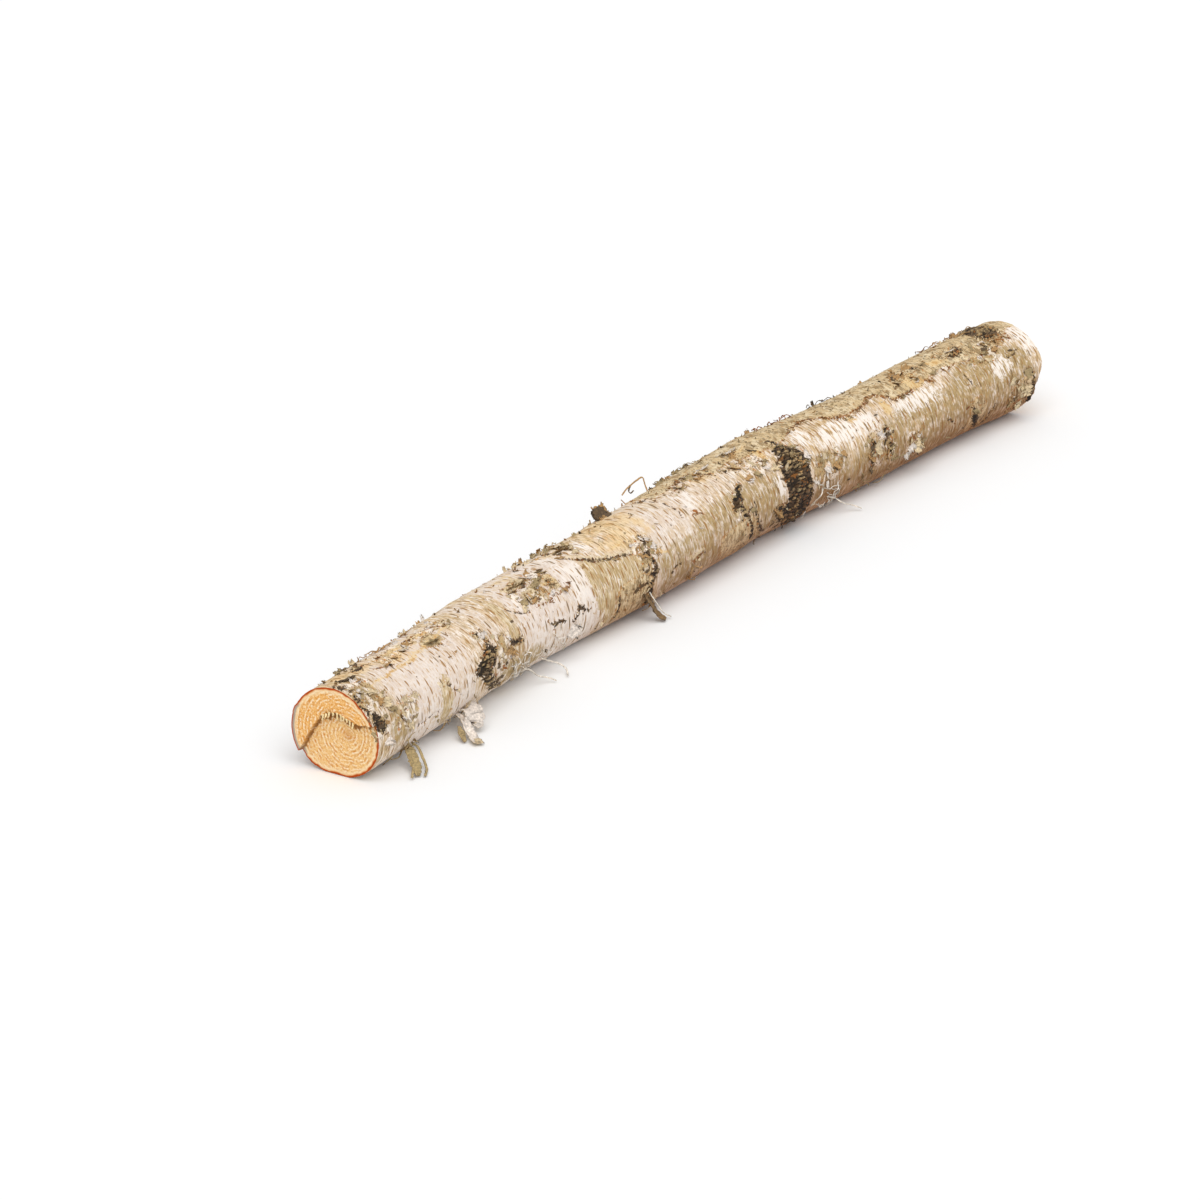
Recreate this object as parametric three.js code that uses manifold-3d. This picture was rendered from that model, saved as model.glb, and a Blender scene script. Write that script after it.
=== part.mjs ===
// A birch log lying on its side: a sawn length of a slim birch stem with its papery bark still on.
// Millimetres, +Z up. +X runs along the log, from the near sawn end with the saw step to the far one,
// and the origin lies under the middle of the log, on the surface that it rests on.
// A place on the bark is given by s, the distance from the near end, and by a turn in degrees round
// the stem, 0 at the top and 90 on the side that faces -Y.
import * as THREE from "three";
import { mergeVertices } from "three/addons/utils/BufferGeometryUtils.js";
import Module from "manifold-3d";

// Driving dimensions of the stem
const STEM_LENGTH = 1000; // the stem before the far end is sawn off
const LOG_LENGTH = 990; // the finished log
const CENTRE_SHIFT = 3.4; // moves the bowed stem so that its footprint is centred on the origin
const STEM_KNOTS = [
  // sideways place of the axis and radius of the stem, at equal steps from the near end to the far one
  { side: 0, radius: 37.9 },
  { side: 6.5, radius: 37.2 },
  { side: 16.8, radius: 37.2 },
  { side: 17.5, radius: 38.0 },
  { side: 17.5, radius: 38.9 },
  { side: 21.5, radius: 38.9 },
  { side: 15.0, radius: 38.2 },
  { side: 10.5, radius: 38.0 },
  { side: 0, radius: 38.8 },
];
const OVAL = 1.3; // the section is wider than tall by this much each way at the near end
const OVAL_TURN = 85; // degrees, where the section is widest at the near end
const OVAL_TWIST = 0.05; // degrees by which that turns for each millimetre along the stem
const THREE_LOBE = 0.6; // three low ribs run round the stem in a slow screw
const LOBE_TWIST = 0.9; // degrees by which they turn for each millimetre along the stem
const BELLY_SINK = 1.2; // depth of the flat that the log rests on
const BLOCK = 250; // size of the blocks that cut the far end and the belly

// Saw cuts
const SAW_STEP_DEPTH = 5;
const SAW_STEP_EDGE = [
  // edge of the deeper part of the near cut, from the -Y side to the +Y side, about the stem's axis
  [46, 15],
  [25, 12.3],
  [15, 13.4],
  [5, 17],
  [-5, 15.8],
  [-12, 11],
  [-19, 2],
  [-25, -8],
  [-34, -24],
];
const FAR_CUT_EDGE = [
  // the far cut seen from the side, as s and height about the axis: the lower half is cut back
  [LOG_LENGTH, 60],
  [LOG_LENGTH, 10],
  [LOG_LENGTH - 12, -9],
  [LOG_LENGTH - 14, -60],
];
const SPLINTERS = 9;
const SPLINTER_LENGTH = [4, 7];
const SPLINTER_RADIUS = [0.9, 1.6];
const SPLINTER_ROOT = 2.5; // depth of a splinter's root in the wood
const SPLINTER_ARCH = 3; // rise of the row of splinters over a straight line
const SPLINTER_SLANT = [75, 95]; // degrees from upright
const SPLINTER_SWING = [-25, 25]; // degrees to either side

// Fineness of the stem's surface
const SIDES = 28;
const RINGS_ALONG = 64;

// Rough dark bark: branch scars and patches of thick plates that stand proud of the papery bark
const PLATE_LENGTH = 15; // pitch of the plates along the stem
const PLATE_WIDTH = 11; // and round it
const PLATE_FILL = [0.65, 0.9]; // share of the pitch that a plate takes up
const PLATE_RISE = [0.4, 1]; // share of the scar's height that a plate reaches
const PLATE_TILT = 12; // degrees, the most that a plate tips either way
const PLATE_SWING = 18; // and turns on the bark
const PLATE_ROOT = 5; // depth of a plate's root under the bark
const PLATE_STAGGER = 0.25; // share of the pitch by which each row is moved along
const PLATE_SEED = 23;
const SCAR_CROWN = 1.1; // height at the middle of a scar, as a share of its own
const SCAR_FALL = 0.4; // share by which it falls to the rim
const SCAR_RIM = 1.05; // plates stay inside this share of the scar's oval
const SCARS = [
  { s: 13, turn: 68, along: 9, around: 7, height: 1.8 },
  { s: 45, turn: -18, along: 14, around: 13, height: 1.8 },
  { s: 165, turn: 78, along: 17, around: 14, height: 2.6 },
  { s: 182, turn: 108, along: 10, around: 10, height: 1.8 },
  { s: 400, turn: 75, along: 12, around: 27, height: 2.0 },
  { s: 540, turn: 78, along: 12, around: 25, height: 2.4 },
  { s: 628, turn: 75, along: 23, around: 34, height: 2.8 },
  { s: 734, turn: 86, along: 6, around: 14, height: 1.6 },
  { s: 759, turn: 78, along: 6, around: 13, height: 1.6 },
  { s: 902, turn: 10, along: 10, around: 9, height: 1.8 },
  { s: 888, turn: 108, along: 9, around: 14, height: 1.8 },
  { s: 957, turn: 2, along: 18, around: 22, height: 2.4 },
  { s: 960, turn: 108, along: 16, around: 14, height: 1.8 },
  { s: 215, turn: -112, along: 15, around: 13, height: 2.4 },
  { s: 395, turn: -135, along: 12, around: 20, height: 2.0 },
  { s: 545, turn: -95, along: 16, around: 15, height: 2.4 },
  { s: 640, turn: -125, along: 16, around: 22, height: 2.6 },
  { s: 880, turn: -100, along: 14, around: 18, height: 2.2 },
];

// Rings where the stem swells a little or the bark is wrinkled
const RINGS = [
  { s: 160, half: 9, height: 0.7 },
  { s: 207, half: 7, height: 0.6 },
  { s: 405, half: 12, height: 0.8 },
  { s: 545, half: 14, height: 0.7 },
  { s: 626, half: 24, height: 1.2 },
  { s: 950, half: 26, height: 0.7 },
];

// Peeling bark: torn flaps and curls, placed by hand
const PEEL_THICKNESS = 0.9;
const PEEL_ROOT = 2.5; // depth of a peel's root under the bark
const PEEL_RISE = 60; // degrees, the steepest that a peel's root comes up through the bark
const CURL_STEPS = 3;
const CURL_TIP = 0.6; // width of the tip as a share of the root's
const CURLS = [
  // heading is the way the peel points, 0 along +X and 90 round the stem, lift is its angle to the bark
  { s: 16, turn: 90, width: 8, length: 9, heading: 70, lift: 30, curl: 90 },
  { s: 40, turn: -30, width: 17, length: 8, heading: 265, lift: 25, curl: 40 },
  { s: 60, turn: -32, width: 12, length: 7, heading: 280, lift: 30, curl: 40 },
  { s: 122, turn: 10, width: 15, length: 9, heading: 95, lift: 18, curl: 30 },
  { s: 131, turn: -34, width: 12, length: 6, heading: 270, lift: 35, curl: 40 },
  { s: 160, turn: -36, width: 4, length: 14, heading: 320, lift: 35, curl: 20 },
  { s: 247, turn: 12, width: 22, length: 8, heading: 95, lift: 35, curl: 40 },
  { s: 266, turn: 22, width: 18, length: 9, heading: 60, lift: 25, curl: 40 },
  { s: 283, turn: 34, width: 9, length: 8, heading: 110, lift: 30, curl: 50 },
  { s: 286, turn: 100, width: 12, length: 11, heading: 30, lift: 25, curl: 60 },
  { s: 296, turn: -30, width: 10, length: 9, heading: 290, lift: 40, curl: 100 },
  { s: 314, turn: -26, width: 14, length: 9, heading: 260, lift: 35, curl: 70 },
  { s: 331, turn: -4, width: 13, length: 8, heading: 110, lift: 30, curl: 40 },
  { s: 338, turn: -34, width: 7, length: 11, heading: 250, lift: 45, curl: 130 },
  { s: 411, turn: -26, width: 16, length: 11, heading: 268, lift: 66, curl: 10 },
  { s: 466, turn: -35, width: 2.4, length: 12, heading: 200, lift: 65, curl: 60 },
  { s: 486, turn: -34, width: 2.4, length: 36, heading: 184, lift: 78, curl: -105 },
  { s: 503, turn: -30, width: 14, length: 7, heading: 270, lift: 35, curl: 40 },
  { s: 524, turn: -30, width: 12, length: 8, heading: 280, lift: 40, curl: 50 },
  { s: 580, turn: -12, width: 24, length: 9, heading: 95, lift: 15, curl: 20 },
  { s: 592, turn: 96, width: 14, length: 9, heading: 120, lift: 25, curl: 40 },
  { s: 640, turn: -33, width: 9, length: 7, heading: 275, lift: 40, curl: 60 },
  { s: 735, turn: -35, width: 5, length: 8, heading: 270, lift: 50, curl: 60 },
  { s: 797, turn: 98, width: 13, length: 11, heading: 60, lift: 25, curl: 70 },
  { s: 818, turn: 8, width: 14, length: 9, heading: 320, lift: 25, curl: 60 },
  { s: 888, turn: 92, width: 11, length: 8, heading: 100, lift: 30, curl: 50 },
  { s: 946, turn: -34, width: 9, length: 8, heading: 280, lift: 45, curl: 40 },
  { s: 961, turn: 96, width: 13, length: 9, heading: 60, lift: 25, curl: 70 },
  { s: 255, turn: -110, width: 18, length: 10, heading: 60, lift: 22, curl: 50 },
  { s: 430, turn: -85, width: 16, length: 11, heading: 200, lift: 20, curl: 60 },
  { s: 700, turn: -75, width: 20, length: 10, heading: 100, lift: 20, curl: 40 },
  { s: 790, turn: -120, width: 13, length: 10, heading: 260, lift: 25, curl: 60 },
];

// Long strips that have peeled off the lower side and lie out over the surface beside the log.
// Each bend is a place on the bark's own lines: s, then how far it is out from the axis, then its height.
const STRIP_STEPS = 6;
const STRIP_TIP = 0.5; // width of the tip as a share of the root's
const STRIPS = [
  { width: 10, bends: [[55, 29, 15], [51, 36, 12], [45, 44, 9], [38, 52, 4], [31, 57, 1.6]] },
  { width: 5, bends: [[60, 29, 14], [60, 36, 12], [56, 44, 6], [49, 53, 2.2], [38, 60, 1.4]] },
  { width: 16, bends: [[128, 29, 15], [128, 36, 15], [129, 43, 13], [128, 50, 8], [125, 55, 2.4]] },
  { width: 7, bends: [[117, 30, 13], [115, 37, 11], [109, 45, 7], [104, 53, 3], [95, 59, 1.6]] },
  { width: 4, bends: [[222, 31, 16], [230, 36, 13], [234, 41, 8], [243, 45, 4], [246, 51, 1.8]] },
  { width: 4, bends: [[252, 31, 15], [256, 37, 12], [264, 41, 8], [266, 47, 4], [260, 53, 2]] },
  { width: 6, bends: [[392, 34, 20], [394, 39, 14], [397, 43, 8], [402, 46, 4], [406, 51, 2]] },
  { width: 4, bends: [[672, 33, 18], [682, 37, 13], [686, 42, 9], [695, 45, 5], [699, 51, 2.2]] },
];

// Small torn flakes, scattered over the bark
const FLAKES = 32;
const FLAKE_SEED = 11;
const FLAKE_STEPS = 2;
const FLAKE_S = [20, 975];
const FLAKE_TURN = [-125, 125];
const FLAKE_WIDTH = [3, 9];
const FLAKE_LENGTH = [3, 7];
const FLAKE_LIFT = [25, 45];
const FLAKE_CURL = [20, 60];

const BARK_COLOUR = 0xe4d8c6;
const BARK_ROUGHNESS = 0.82;

const WELD = 1e-4; // vertices nearer than this are one

const wasm = await Module();
wasm.setup();

const rad = THREE.MathUtils.degToRad;

// Seeded stream of numbers from 0 to 1
function randomStream(seed) {
  let state = seed;
  return () => {
    state = (Math.imul(state, 1664525) + 1013904223) >>> 0;
    return state / 4294967296;
  };
}

// A number drawn from a range
function between([low, high], random) {
  return THREE.MathUtils.lerp(low, high, random());
}

// Closed geometry as a solid that can be joined and cut
function solid(geometry) {
  geometry.deleteAttribute("normal");
  geometry.deleteAttribute("uv");
  const merged = mergeVertices(geometry, WELD);
  return new wasm.Manifold(
    new wasm.Mesh({
      numProp: 3,
      vertProperties: merged.attributes.position.array,
      triVerts: new Uint32Array(merged.index.array),
    }),
  );
}

// The outer body of a joined solid, with small hollows that joining closed off filled in
function outerBody(joined) {
  const bodies = joined.decompose();
  return bodies.reduce((largest, body) => (body.volume() > largest.volume() ? body : largest));
}

// Joined solid as geometry for drawing
function geometryOf(joined) {
  const mesh = joined.getMesh();
  const geometry = new THREE.BufferGeometry();
  geometry.setAttribute("position", new THREE.BufferAttribute(mesh.vertProperties, 3));
  geometry.setIndex(new THREE.BufferAttribute(mesh.triVerts, 1));
  geometry.computeVertexNormals();
  return geometry;
}

// The stem's axis as a smooth curve: x along the log, y sideways, z the radius
const stemCurve = new THREE.CatmullRomCurve3(
  STEM_KNOTS.map(({ side, radius }, i) => {
    const x = (i / (STEM_KNOTS.length - 1)) * STEM_LENGTH;
    return new THREE.Vector3(x, side, radius);
  }),
  false,
  "catmullrom",
  0.5,
);

// Sideways place of the axis and radius of the stem at s
function stemAt(s) {
  const at = THREE.MathUtils.clamp(s / STEM_LENGTH, 0, 1);
  const { y, z } = stemCurve.getPoint(at);
  return { side: y, radius: z };
}

// Radius of the clear stem, which is a little oval and three-lobed
function clearRadius(s, turn) {
  const oval = OVAL * Math.cos(rad(2 * (turn - OVAL_TURN - OVAL_TWIST * s)));
  const lobes = THREE_LOBE * Math.cos(rad(3 * turn + LOBE_TWIST * s));
  return stemAt(s).radius + oval + lobes;
}

// Height of the axis, which lets the belly sink into its flat
function axisHeight(s) {
  return clearRadius(s, 180) - BELLY_SINK;
}

// Point at a distance from the axis
function stemPoint(s, turn, distance) {
  const y = stemAt(s).side - distance * Math.sin(rad(turn));
  const z = axisHeight(s) + distance * Math.cos(rad(turn));
  return new THREE.Vector3(s - LOG_LENGTH / 2, y - CENTRE_SHIFT, z);
}

// Directions at a turn: out of the bark, and round the stem
function barkDirections(turn) {
  const out = new THREE.Vector3(0, -Math.sin(rad(turn)), Math.cos(rad(turn)));
  const round = new THREE.Vector3(0, -Math.cos(rad(turn)), -Math.sin(rad(turn)));
  return { out, round };
}

// Height of the rings over the clear stem
function ringHeight(s) {
  const heights = RINGS.map((ring) => ring.height * Math.exp(-(((s - ring.s) / ring.half) ** 2)));
  return heights.reduce((sum, height) => sum + height, 0);
}

// The whole stem, a little longer than the log at its far end
function stemSolid() {
  const tube = new THREE.CylinderGeometry(1, 1, STEM_LENGTH, SIDES, RINGS_ALONG);
  tube.translate(0, STEM_LENGTH / 2, 0);
  const position = tube.attributes.position;
  for (let i = 0; i < position.count; i++) {
    const s = position.getY(i);
    const reach = Math.hypot(position.getX(i), position.getZ(i));
    const turn = THREE.MathUtils.radToDeg(Math.atan2(position.getX(i), position.getZ(i)));
    const point = stemPoint(s, turn, reach * (clearRadius(s, turn) + ringHeight(s)));
    position.setXYZ(i, point.x, point.y, point.z);
  }
  return solid(tube);
}

// A block of thick bark, set in the stem with a small random turn and tilt
function plateSolid(s, turn, height, random) {
  const length = PLATE_LENGTH * between(PLATE_FILL, random);
  const width = PLATE_WIDTH * between(PLATE_FILL, random);
  const plate = new THREE.BoxGeometry(length, width, PLATE_ROOT);
  plate.translate(0, 0, -PLATE_ROOT / 2);
  plate.rotateX(rad(between([-PLATE_TILT, PLATE_TILT], random)));
  plate.rotateY(rad(between([-PLATE_TILT, PLATE_TILT], random)));
  plate.rotateZ(rad(between([-PLATE_SWING, PLATE_SWING], random)));
  const { out, round } = barkDirections(turn);
  const place = new THREE.Matrix4().makeBasis(new THREE.Vector3(1, 0, 0), round.negate(), out);
  const top = clearRadius(s, turn) + ringHeight(s) + height * between(PLATE_RISE, random);
  place.setPosition(stemPoint(s, turn, top));
  return solid(plate.applyMatrix4(place));
}

// The plates of a scar, in staggered rows that fill an oval
function scarSolids(scar, random) {
  const plates = [];
  const radius = stemAt(scar.s).radius;
  const rows = Math.max(1, Math.round((2 * scar.around) / PLATE_WIDTH));
  const columns = Math.max(1, Math.round((2 * scar.along) / PLATE_LENGTH));
  for (let row = 0; row < rows; row++) {
    for (let column = 0; column < columns; column++) {
      const across = ((row + 0.5) / rows) * 2 - 1;
      const stagger = PLATE_STAGGER * ((row % 2) * 2 - 1);
      const along = ((column + 0.5 + stagger) / columns) * 2 - 1;
      const height = scar.height * (SCAR_CROWN - SCAR_FALL * (along * along + across * across));
      const turn = scar.turn + THREE.MathUtils.radToDeg((across * scar.around) / radius);
      if (Math.hypot(along, across) > SCAR_RIM) continue;
      plates.push(plateSolid(scar.s + along * scar.along, turn, height, random));
    }
  }
  return plates;
}

// What the saw took away below the step in the near cut
function sawStepSolid() {
  const shape = new THREE.Shape();
  const [first] = SAW_STEP_EDGE;
  const last = SAW_STEP_EDGE.at(-1);
  shape.moveTo(...first);
  shape.splineThru(SAW_STEP_EDGE.slice(1).map(([x, y]) => new THREE.Vector2(x, y)));
  shape.lineTo(last[0], -BLOCK / 2);
  shape.lineTo(first[0], -BLOCK / 2);
  const cut = new THREE.ExtrudeGeometry(shape, {
    depth: SAW_STEP_DEPTH * 2,
    bevelEnabled: false,
    curveSegments: 2,
  });
  const place = new THREE.Matrix4().makeBasis(
    new THREE.Vector3(0, -1, 0),
    new THREE.Vector3(0, 0, 1),
    new THREE.Vector3(-1, 0, 0),
  );
  place.setPosition(SAW_STEP_DEPTH - LOG_LENGTH / 2, -CENTRE_SHIFT, axisHeight(0));
  return solid(cut.applyMatrix4(place));
}

// What the saw took away past the far cut
function farCutSolid() {
  const shape = new THREE.Shape();
  shape.moveTo(STEM_LENGTH * 2, FAR_CUT_EDGE[0][1]);
  for (const [s, up] of FAR_CUT_EDGE) shape.lineTo(s, up);
  shape.lineTo(STEM_LENGTH * 2, FAR_CUT_EDGE.at(-1)[1]);
  const cut = new THREE.ExtrudeGeometry(shape, { depth: BLOCK, bevelEnabled: false });
  cut.translate(-LOG_LENGTH / 2, 0, -BLOCK / 2);
  cut.rotateX(Math.PI / 2);
  cut.translate(0, 0, axisHeight(LOG_LENGTH));
  return solid(cut);
}

// What the flat belly takes away
function bellySolid() {
  const block = new THREE.BoxGeometry(LOG_LENGTH * 2, BLOCK, BLOCK);
  block.translate(0, 0, -BLOCK / 2);
  return solid(block);
}

// Torn wood fibres that stand out of the saw step
function splinterSolid(random) {
  const along = random();
  const length = between(SPLINTER_LENGTH, random);
  const cone = new THREE.ConeGeometry(between(SPLINTER_RADIUS, random), length, 3);
  cone.translate(0, length / 2 - SPLINTER_ROOT, 0);
  cone.rotateZ(rad(between(SPLINTER_SLANT, random)));
  cone.rotateX(rad(between(SPLINTER_SWING, random)));
  const [from, to] = [SAW_STEP_EDGE[1], SAW_STEP_EDGE[5]];
  const across = THREE.MathUtils.lerp(from[0], to[0], along);
  const up = THREE.MathUtils.lerp(from[1], to[1], along) + SPLINTER_ARCH * Math.sin(Math.PI * along);
  cone.translate(SAW_STEP_DEPTH - LOG_LENGTH / 2, -across - CENTRE_SHIFT, axisHeight(0) + up);
  return solid(cone);
}

// A thin band of bark along a row of points, narrowing to its tip
function bandSolid(points, across, width, tip) {
  const steps = points.length - 1;
  const band = new THREE.BoxGeometry(1, 1, 1, 1, 1, steps);
  const position = band.attributes.position;
  const corner = new THREE.Vector3();
  for (let i = 0; i < position.count; i++) {
    corner.fromBufferAttribute(position, i);
    const k = Math.round((corner.z + 0.5) * steps);
    const before = points[Math.max(k - 1, 0)];
    const after = points[Math.min(k + 1, steps)];
    const ahead = after.clone().sub(before).normalize();
    const side = across.clone().addScaledVector(ahead, -across.dot(ahead)).normalize();
    const up = ahead.clone().cross(side);
    const wide = width * THREE.MathUtils.lerp(1, tip, k / steps);
    const point = points[k].clone();
    point.addScaledVector(side, corner.x * wide);
    point.addScaledVector(up, corner.y * PEEL_THICKNESS);
    position.setXYZ(i, point.x, point.y, point.z);
  }
  return solid(band);
}

// A peel that leaves the bark at an angle and curls over
function curlSolid({ s, turn, width, length, heading, lift, curl }, steps = CURL_STEPS) {
  const { out, round } = barkDirections(turn);
  const along = new THREE.Vector3(Math.cos(rad(heading)), 0, 0);
  along.addScaledVector(round, Math.sin(rad(heading)));
  const across = out.clone().cross(along);
  const point = stemPoint(s, turn, clearRadius(s, turn) - PEEL_ROOT);
  const step = (length + PEEL_ROOT) / steps;
  const points = [point.clone()];
  for (let k = 0; k < steps; k++) {
    const angle = rad(k === 0 ? Math.max(lift, PEEL_RISE) : lift + (curl * k) / steps);
    point.addScaledVector(along, step * Math.cos(angle));
    point.addScaledVector(out, step * Math.sin(angle));
    points.push(point.clone());
  }
  return bandSolid(points, across, width, CURL_TIP);
}

// A strip that comes off the lower side and lies on the surface
function stripSolid({ width, bends }) {
  const points = bends.map(([s, out, height]) => {
    return new THREE.Vector3(s - LOG_LENGTH / 2, stemAt(s).side - out - CENTRE_SHIFT, height);
  });
  const path = new THREE.CatmullRomCurve3(points).getPoints(STRIP_STEPS);
  return bandSolid(path, new THREE.Vector3(1, 0, 0), width, STRIP_TIP);
}

// A small flake at a random place, clear of the underside
function flakeSolid(random) {
  const flake = {
    s: between(FLAKE_S, random),
    turn: between(FLAKE_TURN, random),
    width: between(FLAKE_WIDTH, random),
    length: between(FLAKE_LENGTH, random),
    heading: between([0, 360], random),
    lift: between(FLAKE_LIFT, random),
    curl: between(FLAKE_CURL, random),
  };
  return curlSolid(flake, FLAKE_STEPS);
}

// The log: stem and rough plates, sawn at both ends, then peels, strips and splinters
function logGeometry() {
  const random = randomStream(FLAKE_SEED);
  const plates = randomStream(PLATE_SEED);
  let log = stemSolid();
  for (const scar of SCARS) {
    for (const plate of scarSolids(scar, plates)) log = log.add(plate);
  }
  log = log.subtract(sawStepSolid()).subtract(farCutSolid());
  for (const curl of CURLS) log = log.add(curlSolid(curl));
  for (const strip of STRIPS) log = log.add(stripSolid(strip));
  for (let i = 0; i < FLAKES; i++) log = log.add(flakeSolid(random));
  for (let i = 0; i < SPLINTERS; i++) log = log.add(splinterSolid(random));
  return geometryOf(outerBody(log.subtract(bellySolid())));
}

const bark = new THREE.MeshStandardMaterial({
  color: BARK_COLOUR,
  roughness: BARK_ROUGHNESS,
  metalness: 0,
});
const log = new THREE.Mesh(logGeometry(), bark);
log.name = "birch_log";

const group = new THREE.Group();
group.add(log);

export default group;
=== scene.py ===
"""Looks of a sawn birch log with papery white bark, dark scars, torn peels and sawn ends.

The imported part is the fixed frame, in metres, +X along the log. A place on the bark is given as in the
part: s in millimetres from the near end, and a turn in degrees round the stem, 0 at the top and 90 on
the side that faces -Y.
"""

from __future__ import annotations

import itertools
import logging
import math
from collections.abc import Iterable
from dataclasses import dataclass, field
from enum import Enum
from typing import Any

import bpy
import numpy as np
from bpy.types import Material, Node, NodeSocket, NodeTree, Object
from mathutils import Matrix, Vector

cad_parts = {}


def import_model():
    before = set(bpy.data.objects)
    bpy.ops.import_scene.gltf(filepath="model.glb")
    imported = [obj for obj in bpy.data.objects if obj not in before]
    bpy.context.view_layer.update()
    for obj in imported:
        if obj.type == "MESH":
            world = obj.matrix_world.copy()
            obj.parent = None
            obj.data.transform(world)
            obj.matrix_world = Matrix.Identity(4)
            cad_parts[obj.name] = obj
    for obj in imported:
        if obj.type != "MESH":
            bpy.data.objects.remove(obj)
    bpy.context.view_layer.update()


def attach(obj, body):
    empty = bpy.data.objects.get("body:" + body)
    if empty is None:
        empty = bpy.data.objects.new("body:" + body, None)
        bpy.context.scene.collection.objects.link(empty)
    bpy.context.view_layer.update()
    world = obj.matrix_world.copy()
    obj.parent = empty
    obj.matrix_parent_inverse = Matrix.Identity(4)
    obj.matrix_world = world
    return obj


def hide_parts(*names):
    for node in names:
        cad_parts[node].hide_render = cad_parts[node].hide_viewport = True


LOG = logging.getLogger("birch_log")
MM = 0.001
NODE = "birch_log"
TINY = 1e-9  # keeps a division by a length of nothing in bounds

Pair = tuple[float, float]
Pairs = tuple[Pair, ...]
Triple = tuple[float, float, float]
Triples = tuple[Triple, ...]
Array = np.ndarray
Draw = np.random.Generator
# Rows of seeded noise: seed, size of a lump for all directions or for each, and height
Lumps = tuple[tuple[int, float | Triple, float], ...]


class Layer(Enum):
    """What lies on the white paper bark or shows through it."""

    FILM = "film"  # old olive-grey outer skin
    THIN = "thin"  # thin khaki skin, finely lined
    HAZE = "haze"  # thin algae and dust with soft edges
    GOLD = "gold"  # freshly peeled golden cream skin
    WHITE = "white"  # clean bright paper
    TAN = "tan"  # bared inner bark
    RUST = "rust"  # rust-brown torn edge
    TORN = "torn"  # ragged paper, torn off layer by layer
    SCAR = "scar"  # thick dark cracked bark
    CRACK = "crack"  # dark slit
    RIDGE = "ridge"  # rolled lip of torn paper


class Tone(Enum):
    """Colour of a loose peel, as its outer and inner side."""

    PAPER = ("#EBE0D6", "#DCC6A2")
    CREAM = ("#E0CBA6", "#C6A06A")
    OLIVE = ("#B09A70", "#8E7048")
    HUSK = ("#B8A274", "#8C6E42")
    DARK = ("#66523A", "#4C3A26")
    CHIP = ("#8A6E4A", "#5A442C")
    TAN = ("#BC9460", "#9A6A38")
    RUST = ("#A0642E", "#834C24")
    FIBRE = ("#F2EAE0", "#E2D4BC")
    WOOD = ("#F6DFAA", "#E6BE7E")


Mix = tuple[tuple[Tone, float], ...]  # tones and their shares


# Patches as s from, s to, turn from, turn to
PATCHES: dict[Layer, tuple[tuple[float, float, float, float], ...]] = {
    Layer.FILM: (
        (112, 136, 4, 24), (236, 262, 4, 20), (276, 290, 22, 46), (350, 400, 80, 128),
        (500, 560, 84, 128), (880, 905, 84, 130), (943, 978, 86, 130),
    ),
    Layer.THIN: (
        (94, 109, 60, 124), (203, 214, 12, 84), (250, 266, 24, 50), (322, 340, 26, 100),
        (334, 362, 36, 128), (352, 400, 50, 128), (118, 132, -150, -52), (372, 384, -140, -60),
        (604, 622, -150, -58), (772, 790, -130, -48),
    ),
    Layer.HAZE: (
        (40, 116, -136, -92), (240, 330, -150, -104), (24, 56, 64, 104), (172, 250, 94, 128),
        (178, 204, 56, 92), (412, 470, 66, 126), (465, 606, 46, 126), (650, 700, 58, 128),
        (700, 905, 66, 132), (752, 880, 50, 92), (862, 978, 28, 132), (0, 30, 14, 56),
    ),
    Layer.GOLD: (
        (4, 56, -40, 6), (352, 428, -28, 42), (60, 104, -12, 16), (512, 536, 2, 16), (576, 602, -6, 4),
        (150, 206, -84, -50), (480, 530, -112, -84), (716, 770, -98, -66),
    ),
    Layer.WHITE: (
        (430, 462, -100, -52), (660, 684, -120, -56), (846, 866, -110, -60), (296, 322, 14, 122),
        (222, 256, 28, 46), (474, 493, 10, 42), (568, 602, -24, -4), (594, 606, 58, 82),
        (650, 668, 12, 42), (672, 756, 26, 60), (786, 850, 36, 62), (925, 948, 46, 72),
        (972, 992, 10, 60), (302, 313, -14, 10), (340, 356, -8, 22),
    ),
    Layer.TAN: (
        (817, 842, 11, 33), (721, 731, 28, 38), (770, 780, 26, 48), (862, 881, 6, 18), (596, 604, 12, 34),
    ),
    Layer.TORN: (
        (0, 30, 6, 56), (30, 60, 58, 92), (60, 104, -16, 10), (106, 158, -14, 6), (160, 178, 30, 58),
        (178, 204, 56, 92), (232, 292, 2, 50), (316, 345, -20, 10), (384, 416, 32, 78),
        (486, 540, -14, 4), (555, 602, 8, 46), (608, 648, 26, 66), (650, 694, 58, 96),
        (728, 766, 58, 106), (783, 808, 82, 118), (808, 858, -8, 22), (880, 920, -6, 18),
        (900, 946, 14, 46), (936, 974, 6, 32), (940, 985, 84, 126), (66, 104, -118, -90),
        (232, 286, -84, -58), (300, 352, -124, -92), (520, 574, -76, -52), (664, 716, -134, -100),
        (800, 838, -92, -62), (908, 940, -124, -84),
    ),
    Layer.SCAR: ((940, 972, -32, 16),),
}

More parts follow.
